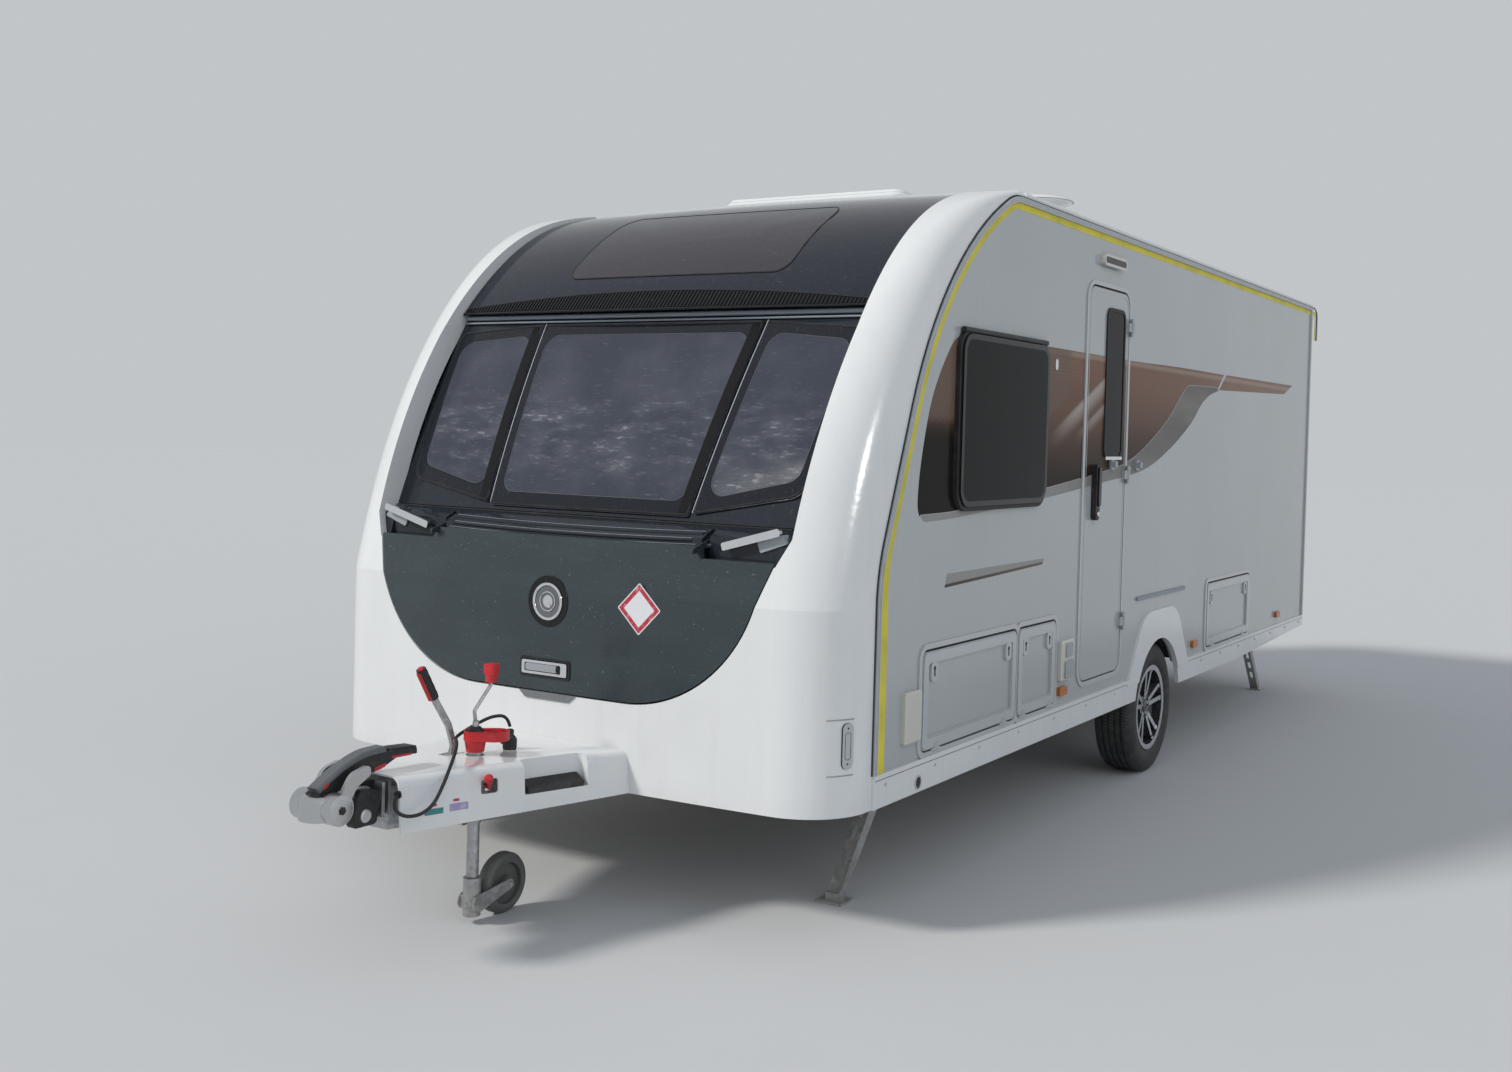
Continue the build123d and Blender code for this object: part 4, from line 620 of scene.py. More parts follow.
class Piece:
    """A mesh in the making, in metres in the caravan's frame."""

    bevel_from = radians(28)
    nothing = 1e-6

    def __init__(self):
        self.mesh = bmesh.new()

    def points(self, places):
        return [self.mesh.verts.new(place) for place in places]

    def skin(self, loops, closed=True):
        """Faces between neighbouring loops of as many points, or between rows of a sheet."""
        for a, b in zip(loops, loops[1:]):
            for i in range(len(a) if closed else len(a) - 1):
                k = (i + 1) % len(a)
                self.mesh.faces.new((a[i], a[k], b[k], b[i]))
        return self

    def between(self, low, high):
        """A closed body between two loops of as many places."""
        ends = [self.points(low), self.points(high)]
        self.mesh.faces.new(ends[0])
        self.mesh.faces.new(ends[1][::-1])
        return self.skin(ends)

    def thicken(self, thickness):
        bmesh.ops.solidify(self.mesh, geom=self.mesh.faces[:], thickness=thickness)
        return self

    def set_on(self, placed):
        """Moves what was made flat about the origin to its frame."""
        bmesh.ops.transform(self.mesh, matrix=placed, verts=self.mesh.verts)
        return self

    def level(self, outline, axis, w):
        """An outline at one height along an axis."""
        return [(w, u, v) if axis == X else (u, w, v) if axis == Y else (u, v, w) for u, v in outline]

    def prism(self, outline, axis, low, high):
        """An outline pushed along an axis: (y, z) along X, (x, z) along Y or (x, y) along Z."""
        return self.between(self.level(outline, axis, low), self.level(outline, axis, high))

    def frame(self, outer, inner, axis, low, high):
        """A flat ring between two outlines of as many points."""
        loops = [self.points(self.level(loop, axis, w))
                 for loop, w in ((outer, low), (outer, high), (inner, high), (inner, low))]
        return self.skin(loops + loops[:1])

    def box(self, x, y, z):
        return self.prism([(x[0], y[0]), (x[1], y[0]), (x[1], y[1]), (x[0], y[1])], Z, z[0], z[1])

    def tube(self, points, radius, sides=10, closed=False, flat=1.0):
        """A round bar along points, of one radius or one for each; flat squeezes its first side."""
        spots = [Vector(point) for point in points]
        count = len(spots)
        loops = []
        side = None
        for i, spot in enumerate(spots):
            before = spots[i - 1] if closed or i else spot
            after = spots[(i + 1) % count] if closed or i < count - 1 else spot
            along = (after - before).normalized()
            if side is None:
                side = along.orthogonal().normalized()
            side = (side - along * side.dot(along)).normalized()
            up = along.cross(side)
            size = radius[i] if isinstance(radius, (list, tuple)) else radius
            loops.append(self.points(spot + (side * cos(a) * flat + up * sin(a)) * size
                                     for a in (2 * pi * k / sides for k in range(sides))))
        if closed:
            return self.skin(loops + loops[:1])
        self.mesh.faces.new(loops[0][::-1])
        self.mesh.faces.new(loops[-1])
        return self.skin(loops)

    def turned(self, profile, origin=(0, 0, 0), axis=(0, 0, 1), sides=32):
        """A profile of (radius, height) turned round an axis; it starts and ends on the axis or closes."""
        axis = Vector(axis).normalized()
        side = axis.orthogonal().normalized()
        up = axis.cross(side)
        origin = Vector(origin)
        loops = []
        for radius, height in profile:
            if radius < self.nothing:
                loops.append(self.points([origin + axis * height]))
                continue
            loops.append(self.points(origin + axis * height + (side * cos(a) + up * sin(a)) * radius
                                     for a in (2 * pi * k / sides for k in range(sides))))
        pairs = list(zip(loops, loops[1:]))
        if len(loops[0]) > 1:
            pairs.append((loops[-1], loops[0]))
        for a, b in pairs:
            for k in range(sides):
                n = (k + 1) % sides
                ring = [a[k % len(a)], a[n % len(a)], b[n % len(b)], b[k % len(b)]]
                ring = [v for i, v in enumerate(ring) if v not in ring[:i]]
                if len(ring) > 2:
                    self.mesh.faces.new(ring)
        return self

    def finish(self, name, material, body="caravan", soften=0.0, segments=2, crease=32, slot=None):
        """Bevels the sharp edges if asked, shades the piece and puts it on its body."""
        if soften:
            edges = [e for e in self.mesh.edges
                     if len(e.link_faces) == 2 and e.calc_face_angle(0.0) > self.bevel_from]
            bmesh.ops.bevel(self.mesh, geom=edges, offset=soften, segments=segments, profile=0.6,
                            affect="EDGES", clamp_overlap=True)
        bmesh.ops.remove_doubles(self.mesh, verts=self.mesh.verts, dist=self.nothing)
        bmesh.ops.recalc_face_normals(self.mesh, faces=self.mesh.faces)
        for face in self.mesh.faces:
            face.smooth = True
        for edge in self.mesh.edges:
            edge.smooth = len(edge.link_faces) == 2 and edge.calc_face_angle(0.0) < radians(crease)
        data = bpy.data.meshes.new(name)
        self.mesh.to_mesh(data)
        self.mesh.free()
        data.materials.append(material)
        return keep(name, data, body)


# Places on the CAD pieces
def hit(node, origin, direction):
    """Where a line from a point first meets a CAD piece, with the surface's outward side."""
    ok, place, normal, _ = nodes[node].ray_cast(Vector(origin), Vector(direction).normalized())
    if not ok:
        return None, None
    return place, normal if normal.dot(Vector(direction)) < 0 else -normal


def from_ahead(node, x, z):
    return hit(node, (x, well_ahead, z), along_y)


def on_front(node, x, z, lift=0.0):
    """A point on a front piece, seen from ahead, lifted off it."""
    place, normal = from_ahead(node, x, z)
    return place + normal * lift


def across_front(node, half, z, lift, steps=24, crown=0.0):
    """A level line across a front piece, raised by a crown in its middle."""
    return [on_front(node, -half + 2 * half * k / steps, z + crown * (1 - (1 - 2 * k / steps) ** 2), lift)
            for k in range(steps + 1)]


def facing(place, normal, roll=0.0):
    """A frame on a surface: its Z points outwards and its Y upwards."""
    out = normal.normalized()
    across = Vector((0, 0, 1)).cross(out).normalized()
    up = out.cross(across)
    turn = Matrix((across, up, out)).transposed().to_4x4()
    return Matrix.Translation(place) @ turn @ Matrix.Rotation(roll, 4, "Z")


# Camera
def make_camera():
    data = bpy.data.cameras.new("camera")
    data.lens = 35.62
    data.sensor_width = 36.0
    data.shift_x = -0.0297
    data.shift_y = -0.0460
    data.clip_end = 200.0
    yaw = radians(-31.279)
    pitch = radians(-1.227)
    roll = radians(1.575)
    stand = (3.422, -6.670, 1.614)
    ahead = Vector((sin(yaw) * cos(pitch), cos(yaw) * cos(pitch), sin(pitch)))
    level = Vector((cos(yaw), -sin(yaw), 0.0))
    over = level.cross(ahead)
    right = level * cos(roll) + over * sin(roll)
    up = over * cos(roll) - level * sin(roll)
    camera = bpy.data.objects.new("camera", data)
    bpy.context.scene.collection.objects.link(camera)
    camera.matrix_world = Matrix.Translation(stand) @ Matrix((right, up, -ahead)).transposed().to_4x4()
    bpy.context.scene.camera = camera


make_camera()

# The tow cable, from its gland in the fairing round the collar to the plug
cable_route = [
    (0.108, -3.482, 0.504), (0.126, -3.520, 0.484), (0.150, -3.508, 0.452), (0.166, -3.454, 0.444),
    (0.176, -3.404, 0.466), (0.178, -3.366, 0.520), (0.160, -3.318, 0.568), (0.118, -3.252, 0.600),
    (0.060, -3.188, 0.610), (0.008, -3.144, 0.608), (-0.016, -3.090, 0.614), (-0.008, -3.034, 0.634),
    (0.026, -2.990, 0.660), (0.056, -2.952, 0.658), (0.060, -2.944, 0.622),
]
cable_diameter = 0.011


def tow_cable():
    curve = bpy.data.curves.new("tow_cable_lead", "CURVE")
    curve.dimensions = "3D"
    curve.bevel_depth = cable_diameter / 2
    curve.bevel_resolution = 4
    curve.resolution_u = 12
    curve.use_fill_caps = True
    spline = curve.splines.new("NURBS")
    spline.points.add(len(cable_route) - 1)
    for point, place in zip(spline.points, cable_route):
        point.co = (*place, 1.0)
    spline.order_u = 3
    spline.use_endpoint_u = True
    curve.materials.append(cable_rubber)
    cable = keep("tow_cable_lead", curve, "caravan")
    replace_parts(cable, "tow_cable")


tow_cable()


# Geometry Nodes: rows of small parts
def grow(name, tree, settings, material, points=(), marks=None):
    """Evaluates a tree on a mesh of points, or an empty one, and keeps the result as a plain mesh."""
    seed = bpy.data.meshes.new(name + "_seed")
    seed.from_pydata(list(points), [], [])
    for label, vectors in (marks or {}).items():
        attribute = seed.attributes.new(label, "FLOAT_VECTOR", "POINT")
        attribute.data.foreach_set("vector", [part for vector in vectors for part in vector])
    made = bpy.data.objects.new(name + "_seed", seed)
    bpy.context.scene.collection.objects.link(made)
    modifier = made.modifiers.new("grow", "NODES")
    modifier.node_group = tree
    for item in tree.interface.items_tree:
        if item.item_type == "SOCKET" and item.in_out == "INPUT" and item.name in settings:
            modifier[item.identifier] = settings[item.name]
    data = bpy.data.meshes.new_from_object(made.evaluated_get(bpy.context.evaluated_depsgraph_get()))
    bpy.data.objects.remove(made)
    data.name = name
    if not data.materials:
        data.materials.append(material)
    return keep(name, data, "caravan")


def new_tree(name, sizes):
    """A geometry tree with its named inputs; sizes gives each input's kind."""
    tree = bpy.data.node_groups.new(name, "GeometryNodeTree")
    for label, kind in sizes.items():
        tree.interface.new_socket(label, in_out="INPUT", socket_type=kind)
    tree.interface.new_socket("Geometry", in_out="OUTPUT", socket_type="NodeSocketGeometry")
    return tree, tree.nodes.new("NodeGroupInput"), tree.nodes.new("NodeGroupOutput")


def copies(tree, given, result, points, shape):
    """A shape on each point, made real and given its finish; returns the node that places them."""
    put = tree.nodes.new("GeometryNodeInstanceOnPoints")
    real = tree.nodes.new("GeometryNodeRealizeInstances")
    dress = tree.nodes.new("GeometryNodeSetMaterial")
    for source, target in ((points, put.inputs["Points"]),
                           (shape.outputs["Mesh"], put.inputs["Instance"]),
                           (put.outputs["Instances"], real.inputs["Geometry"]),
                           (real.outputs["Geometry"], dress.inputs["Geometry"]),
                           (given.outputs["Finish"], dress.inputs["Material"]),
                           (dress.outputs["Geometry"], result.inputs["Geometry"])):
        tree.links.new(source, target)
    return put


def row_tree(name, head):
    """Copies of one small head, evenly spaced between two ends, turned to face one way."""
    sizes = {"Start": "NodeSocketVector", "End": "NodeSocketVector", "Count": "NodeSocketInt",
             "Size": "NodeSocketVector", "Turn": "NodeSocketRotation", "Finish": "NodeSocketMaterial"}
    tree, given, result = new_tree(name, sizes)
    line = tree.nodes.new("GeometryNodeMeshLine")
    line.mode = "END_POINTS"
    if head == "screw":
        shape = tree.nodes.new("GeometryNodeMeshCylinder")
        for label, size in (("Vertices", 12), ("Radius", 0.5), ("Depth", 1.0)):
            shape.inputs[label].default_value = size
    else:
        shape = tree.nodes.new("GeometryNodeMeshCube")
    put = copies(tree, given, result, line.outputs["Mesh"], shape)
    for label, target in (("Count", line.inputs["Count"]), ("Start", line.inputs["Start Location"]),
                          ("End", line.inputs["Offset"]), ("Turn", put.inputs["Rotation"]),
                          ("Size", put.inputs["Scale"])):
        tree.links.new(given.outputs[label], target)
    return tree


def comb_tree():
    """A bar on each point of a mesh, with the size and lean that the point carries."""
    tree, given, result = new_tree("comb", {"Geometry": "NodeSocketGeometry", "Finish": "NodeSocketMaterial"})
    put = copies(tree, given, result, given.outputs["Geometry"], tree.nodes.new("GeometryNodeMeshCube"))
    read = {}
    for label in ("lean", "size"):
        read[label] = tree.nodes.new("GeometryNodeInputNamedAttribute")
        read[label].data_type = "FLOAT_VECTOR"
        read[label].inputs["Name"].default_value = label
    turn = tree.nodes.new("FunctionNodeEulerToRotation")
    tree.links.new(read["lean"].outputs["Attribute"], turn.inputs["Euler"])
    tree.links.new(turn.outputs["Rotation"], put.inputs["Rotation"])
    tree.links.new(read["size"].outputs["Attribute"], put.inputs["Scale"])
    return tree


screw_row = row_tree("screw_row", "screw")
comb_row = comb_tree()
bar_row = row_tree("bar_row", "bar")
facing_side = (0.0, pi / 2, 0.0)
upright = (0.0, 0.0, 0.0)


def row(name, tree, start, end, count, size, turn, material):
    settings = {"Start": start, "End": end, "Count": count, "Size": size, "Turn": turn, "Finish": material}
    return grow(name, tree, settings, material)


# Side graphics: smooth edges through a few places in (y, z)
swoosh_top = [(-1.80, 1.992), (-0.99, 1.995), (-0.02, 1.994), (0.72, 2.002), (1.54, 2.003)]
swoosh_front = [(-1.80, 1.992), (-1.898, 1.942), (-2.032, 1.765), (-2.104, 1.560), (-2.129, 1.398),
                (-2.105, 1.340), (-2.062, 1.325)]
swoosh_bottom = [(-2.062, 1.325), (-1.755, 1.336), (-0.97, 1.386), (-0.37, 1.436), (0.22, 1.490),
                 (0.61, 1.590), (0.95, 1.722), (1.12, 1.822), (1.264, 1.879), (1.436, 1.912)]
swoosh_inner = [(-2.108, 1.350), (-1.757, 1.361), (-0.97, 1.426), (-0.30, 1.490), (0.06, 1.545),
                (0.366, 1.648), (0.60, 1.752), (0.76, 1.852), (0.86, 1.903), (0.95, 1.920), (1.315, 1.928),
                (1.432, 1.926)]
tail = [(1.452, 1.916), (2.893, 1.948), (3.100, 2.010), (1.590, 2.004)]
slash = [(-1.883, 1.135), (-1.496, 1.137), (-0.978, 1.139), (-1.004, 1.116), (-1.547, 1.098), (-1.899, 1.087)]
film = 0.0005
frame_width = 0.029
leaf_inset = 0.003

# Where the door's frame crosses the graphics: name, from y, to y, surface and body
door_cuts = [("front", -3.0, entrance[0] - frame_width, wall_x, "caravan"),
             ("door", entrance[0] + leaf_inset, entrance[1] - leaf_inset, leaf_x, "entrance_door"),
             ("rear", entrance[1] + frame_width, 4.0, wall_x, "caravan")]


def film_pieces(name, outline, material, cuts):
    """A thin film on the wall and the door leaf, cut where the door's frame crosses it."""
    for label, low, high, x, body in cuts:
        made = Piece()
        flat = made.mesh
        flat.faces.new(made.points((0.0, y, z) for y, z in outline))
        bmesh.ops.triangulate(flat, faces=flat.faces, ngon_method="EAR_CLIP")
        for edge, side in ((low, -1), (high, 1)):
            bmesh.ops.bisect_plane(flat, geom=flat.verts[:] + flat.edges[:] + flat.faces[:],
                                   plane_co=(0, edge, 0), plane_no=(0, side, 0), clear_outer=True)
        if not flat.faces:
            flat.free()
            continue
        solid = bmesh.ops.extrude_face_region(flat, geom=flat.faces[:])
        for vert in flat.verts:
            vert.co.x = x - film
        for vert in [v for v in solid["geom"] if isinstance(v, bmesh.types.BMVert)]:
            vert.co.x = x + film
        made.finish(f"{name}_{label}", material, body, crease=60)


def side_graphics():
    edges = (swoosh_top, swoosh_front, swoosh_bottom, swoosh_inner)
    top, front, bottom, inner = (smooth_line(edge) for edge in edges)
    film_pieces("graphic_brown", top[::-1] + front[1:-9] + inner, brown, door_cuts)
    film_pieces("graphic_silver", inner[::-1] + front[-5:-1] + bottom, silver, door_cuts)
    for label, low, high, x, body in door_cuts:
        near = [(x + film, p.x, p.y) for p in inner if low < p.x < high]
        Piece().tube(near, 0.0012, 6).finish(f"graphic_edge_{label}", silver_edge, body)
    film_pieces("graphic_tail", [Vector(p) for p in tail], brown, door_cuts[2:])
    film_pieces("graphic_slash", [Vector(p) for p in slash], bronze, door_cuts[:1])


side_graphics()

# Strips along the seam
seam_line = rounded(seam_corners, 14, close=False)
tape_start = 0.021
screw_size = (0.012, 0.012, 0.003)
rail_screw_size = (0.008, 0.008, 0.003)


def seam_offset(distance):
    """The seam moved into the wall."""
    moved = []
    for i, here in enumerate(seam_line):
        before = seam_line[max(i - 1, 0)]
        after = seam_line[min(i + 1, len(seam_line) - 1)]
        along = (after - before).normalized()
        moved.append(here + Vector((along.y, -along.x)) * distance)
    return moved


def tape_width(index):
    """The tape narrows from the skirt to the roof line."""
    share = min(1.0, index / 34)
    return 0.058 - 0.032 * share


def edge_tape(x, thickness):
    """A flat band along the seam that narrows towards the roof."""
    near = seam_offset(tape_start)
    far = [seam_offset(tape_start + tape_width(i))[i] for i in range(len(seam_line))]
    piece = Piece()
    out = x + thickness
    loops = [piece.points(((x, p.x, p.y), (out, p.x, p.y), (out, q.x, q.y), (x, q.x, q.y)))
             for p, q in zip(near, far)]
    piece.skin(loops)
    piece.mesh.faces.new(loops[0])
    piece.mesh.faces.new(loops[-1][::-1])
    piece.finish("edge_tape_door_side", yellow)


def screws_along(name, x, y0, y1, z, count, size):
    row(name, screw_row, (x, y0, z), (x, y1, z), count, size, facing_side, satin)


def seam_strips(side, label):
    x = side * (wall_x + 0.0101)
    # The rail's two grooves are thin darker lines standing proud: painted shade in the grooves.
    groove_shade = Piece()
    for distance in (0.006, 0.0135):
        groove_shade.tube([(x, p.x, p.y) for p in seam_offset(distance)], 0.0011, 6)
    groove_shade.finish(f"rail_groove_shade_{label}", rail_grey)
    bead = Piece().tube([(side * (wall_x + 0.001), p.x, p.y) for p in seam_offset(-0.0035)], 0.0035, 8)
    bead.finish(f"seam_seal_{label}", rubber)
    gutter_x = side * (wall_x + 0.003)
    gutter_z = wall_high_z + 0.013
    gutter = Piece().tube([(gutter_x, -1.30, gutter_z), (gutter_x, wall_rear_y, gutter_z)], 0.009, 10)
    gutter.finish(f"gutter_{label}", white)
    screws_along(f"rail_screws_{label}", x, -1.15, 3.45, wall_high_z - 0.010, 26, rail_screw_size)
    screws_along(f"skirt_screws_{label}", side * (wall_x + 0.0112), 1.25, 3.45, 0.470, 7, screw_size)
    screws_along(f"skirt_screws_front_{label}", side * (wall_x + 0.0082), -2.32, -0.10, 0.470, 7, screw_size)


def skirt_joint(side, label):
    """The dark joint line under the skirt's top strip, open at the wheel arch."""
    joint = Piece()
    x = side * (wall_x + 0.0085)
    joint_z = 0.4915
    for low, high in ((seam_y + 0.01, 0.05), (1.03, wall_rear_y - 0.02)):
        joint.tube([(x, low, joint_z), (x, high, joint_z)], 0.0018, 6)
    joint.finish(f"skirt_joint_{label}", rubber)


edge_tape(wall_x, 0.0007)
for side, label in both_sides:
    seam_strips(side, label)
for side, label in both_sides:
    skirt_joint(side, label)


# Entrance door
def door_trim():
    """Seals and lines of the entrance door and its window."""
    door = "entrance_door"
    Piece().frame(edge_outline(entrance, 0.0058), edge_outline(entrance, 0.0022), X, wall_x - 0.012,
                  wall_x - 0.002).finish("door_gap_seal", rubber)
    Piece().frame(edge_outline(entrance, -0.012), edge_outline(entrance, -0.016), X, leaf_x - 0.001,
                  leaf_x + 0.0012).finish("door_edge_line", frame_white, door, 0.0004)
    (_, y0, z0), (_, y1, z1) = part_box("entrance_door_window")
    pane = (y0, y1, z0, z1, 0.04)
    Piece().frame(edge_outline(pane, 0.007), edge_outline(pane, -0.008), X, leaf_x - 0.001,
                  leaf_x + 0.008).finish("door_window_seal", rubber, door, 0.002)
    Piece().prism(box_outline(y0 + 0.004, y1 - 0.004, z0 - 0.010, z0 + 0.004, 0.006), X, leaf_x,
                  leaf_x + 0.011).finish("door_window_trim", chrome, door, 0.002)


def door_handle():
    """A long oval black handle: a deep housing, a grip along it and a lock below."""
    door = "entrance_door"
    y = -0.453
    housing = box_outline(y - 0.023, y + 0.023, 1.276, 1.518, 0.022, 8)
    Piece().prism(housing, X, leaf_x, leaf_x + 0.024).finish("door_handle_housing", black, door, 0.006, 3)
    grip = Piece().prism(box_outline(y - 0.0145, y + 0.0145, 1.338, 1.508, 0.0135, 8), X, leaf_x + 0.023,
                         leaf_x + 0.034)
    grip.finish("door_handle_grip", black_gloss, door, 0.004, 3)
    line = Piece().frame(box_outline(y - 0.0195, y + 0.0195, 1.330, 1.513, 0.0185, 8),
                         box_outline(y - 0.0180, y + 0.0180, 1.3315, 1.5115, 0.0170, 8), X, leaf_x + 0.0235,
                         leaf_x + 0.0252)
    line.finish("door_handle_line", tab_grey, door)
    lock = Piece().turned([(0, 0.006), (0.010, 0.006), (0.0115, 0.0045), (0.0115, -0.004), (0, -0.004)],
                          (leaf_x + 0.024, y, 1.303), along_x, 24)
    lock.finish("door_handle_lock", chrome, door)
    slit = Piece().box((leaf_x + 0.0295, leaf_x + 0.0306), (y - 0.001, y + 0.001), (1.297, 1.309))
    slit.finish("door_handle_keyhole", rubber, door)


def catch(name, y, z, x, body):
    """A clear moulded retaining catch."""
    base = Piece().prism(box_outline(y - 0.024, y + 0.024, z - 0.026, z + 0.022, 0.008), X, x, x + 0.010)
    base.prism(around(0.016, 0.014, 0.007, y, z), X, x + 0.009, x + 0.026)
    base.finish(name, clear, body, 0.0025)


door_trim()
door_handle()
catch("door_catch", -0.233, 1.520, leaf_x, "entrance_door")
catch("body_catch", 0.120, 1.514, wall_x, "caravan")


def side_window(index, side, y0, y1, z0, z1):
    """Seal, dark border and hinge rail of a side window."""
    x = side * wall_x
    pane = (y0, y1, z0, z1, 0.075)
    seal = Piece().frame(edge_outline(pane, 0.010), edge_outline(pane, -0.022), X, x, x + side * 0.018)
    seal.finish(f"window_seal_{index}", rubber, soften=0.003)
    rim = Piece().frame(edge_outline(pane, -0.006), edge_outline(pane, -0.026), X, x + side * 0.0255,
                        x + side * 0.0262)
    rim.finish(f"window_border_{index}", black_gloss)
    rail_x = x + side * 0.014
    rail = Piece().tube([(rail_x, y0 + 0.02, z1 + 0.006), (rail_x, y1 - 0.02, z1 + 0.006)], 0.011, 14)
    rail.finish(f"window_hinge_rail_{index}", black)


for index, window in enumerate(side_windows):
    side_window(index, *window)


def locker_trim(name, y0, y1, z0, z1, locks):
    """Lock pads, keyholes, inner border and gap seal of a locker door."""
    pads = Piece()
    holes = Piece()
    for y, z in locks:
        pad = box_outline(y - 0.026, y + 0.026, z - 0.040, z + 0.030, 0.018)
        pads.prism(pad, X, leaf_x - 0.006, leaf_x + 0.004)
        holes.turned([(0, 0.0012), (0.007, 0.0012), (0.0085, 0.0), (0, 0.0)], (leaf_x + 0.0041, y, z + 0.006),
                     along_x, 20)
        holes.box((leaf_x + 0.004, leaf_x + 0.0052), (y - 0.0035, y + 0.0035), (z - 0.022, z - 0.002))
    pads.finish(f"{name}_lock_pads", frame_white, name, 0.002)
    holes.finish(f"{name}_keyholes", rubber, name)
    rim = Piece().frame(box_outline(y0 + 0.004, y1 - 0.004, z0 + 0.004, z1 - 0.004, 0.026),
                        box_outline(y0 + 0.040, y1 - 0.040, z0 + 0.040, z1 - 0.040, 0.012), X, leaf_x - 0.001,
                        leaf_x + 0.0045)
    rim.finish(f"{name}_border", frame_white, name, 0.0035)
    gap = Piece().frame(box_outline(y0 - 0.0058, y1 + 0.0058, z0 - 0.0058, z1 + 0.0058, 0.034),
                        box_outline(y0 - 0.0025, y1 + 0.0025, z0 - 0.0025, z1 + 0.0025, 0.030), X,
                        wall_x - 0.014, wall_x - 0.004)
    gap.finish(f"{name}_gap_seal", rubber)


for name, (*edges, locks) in lockers.items():
    locker_trim(name, *edges, locks)


# Wall fittings on the door side, side markers and the jack's hole
def on_wall(name, outline, low, high, material, soften, slot=None):
    """A plate that stands off the door side's wall."""
    Piece().prism(outline, X, wall_x + low, wall_x + high).finish(name, material, soften=soften, slot=slot)


def wall_fittings():
    on_wall("wall_trim_bar", box_outline(0.176, 0.928, 0.872, 0.890, 0.008), 0, 0.009, rail_grey, 0.002)
    flap = Piece().prism(box_outline(-0.785, -0.690, 0.628, 0.700, 0.008), X, wall_x + 0.025, wall_x + 0.034)
    flap.prism(box_outline(-0.775, -0.700, 0.715, 0.772, 0.01), X, wall_x + 0.025, wall_x + 0.031)
    flap.finish("socket_flap", clear, soften=0.003)
    on_wall("window_side_plate", box_outline(-0.928, -0.900, 1.905, 1.950, 0.012), 0, 0.004, chrome, 0.0015)
    lamp_glass = box_outline(-0.432, -0.168, 2.397, 2.425, 0.013)
    edge = Piece().frame(box_outline(-0.444, -0.156, 2.386, 2.436, 0.024), lamp_glass, X, wall_x + 0.018,
                         wall_x + 0.024)
    edge.finish("awning_lamp_edge", cream, soften=0.002, slot="lamp")
    on_wall("awning_lamp_lens", lamp_glass, 0.019, 0.0228, black_gloss, 0.0008, "lamp")
    for index, y in enumerate((-0.757, 1.119, 2.876)):
        for side, label in ((1, "door"), (-1, "off")):
            x = side * wall_x
            outline = box_outline(y - 0.042, y + 0.042, 0.553, 0.590, 0.008)
            marker = Piece().prism(outline, X, x, x + side * 0.016)
            marker.finish(f"side_marker_{index}_{label}", amber_lens, soften=0.003)
    jack_y, jack_z = -2.083, 0.433
    hole = Piece().turned([(0.024, 0.0), (0.024, 0.003), (0.019, 0.0035), (0.0185, 0.001)],
                          (wall_x + 0.0081, jack_y, jack_z), along_x, 28)
    hole.finish("jack_hole_rim", satin)
    # A dark disc inside the hole's rim: painted shade of the open hole.
    dark = Piece().turned([(0, 0.0012), (0.0185, 0.0012), (0.0185, 0.0), (0, 0.0)],
                          (wall_x + 0.0079, jack_y, jack_z), along_x, 28)
    dark.finish("jack_hole_shade", rubber)


wall_fittings()

# Fridge vents on the off side
vent_x = -wall_x - 0.0125
for z0, z1 in ((1.095, 1.285), (1.575, 1.765)):
    row(f"fridge_vent_slats_{round(z0 * 1000)}", bar_row, (vent_x, 1.16, z0), (vent_x, 1.16, z1), 9,
        (0.004, 0.34, 0.008), upright, frame_white)


# The gas locker lid: edge seal, handle, badge and blank sign
def lid_edge_seal():
    path = [on_front("gas_locker_lid", p.x * 0.995, p.y + 0.004, -0.002)
            for p in rounded(lid_edge, 16, close=False)[1:-1]]
    Piece().tube([p + Vector((0, 0.004, 0)) for p in path], 0.0045, 8).finish(
        "lid_edge_seal", rubber, "gas_locker_lid")


def lid_handle():
    lid = "gas_locker_lid"
    at = facing(*from_ahead(lid, -0.007, 0.779))
    surround = Piece().frame(around(0.112, 0.034, 0.010), around(0.104, 0.027, 0.006), Z, -0.001, 0.004)
    surround.set_on(at).finish("lid_handle_surround", black, lid, 0.001)
    back = Piece().prism(around(0.105, 0.028, 0.006), Z, 0.0, 0.0012)
    back.set_on(at).finish("lid_handle_recess", black_gloss, lid)
    bezel = Piece().frame(around(0.101, 0.024, 0.007), box_outline(-0.088, 0.074, -0.0145, 0.0145, 0.005),
                          Z, 0.001, 0.0085)
    bezel.set_on(at).finish("lid_handle_bezel", chrome, lid, 0.0022, 3)
    paddle = Piece().prism(box_outline(-0.084, 0.052, -0.0105, 0.0105, 0.004), Z, 0.0012, 0.0052)
    paddle.set_on(at).finish("lid_handle_paddle", satin, lid, 0.0018)
    lock = Piece().turned([(0, 0.0095), (0.0095, 0.0095), (0.011, 0.008), (0.011, 0.001), (0, 0.001)],
                          (0.064, 0, 0), sides=28)
    lock.set_on(at).finish("lid_handle_lock", black_gloss, lid)


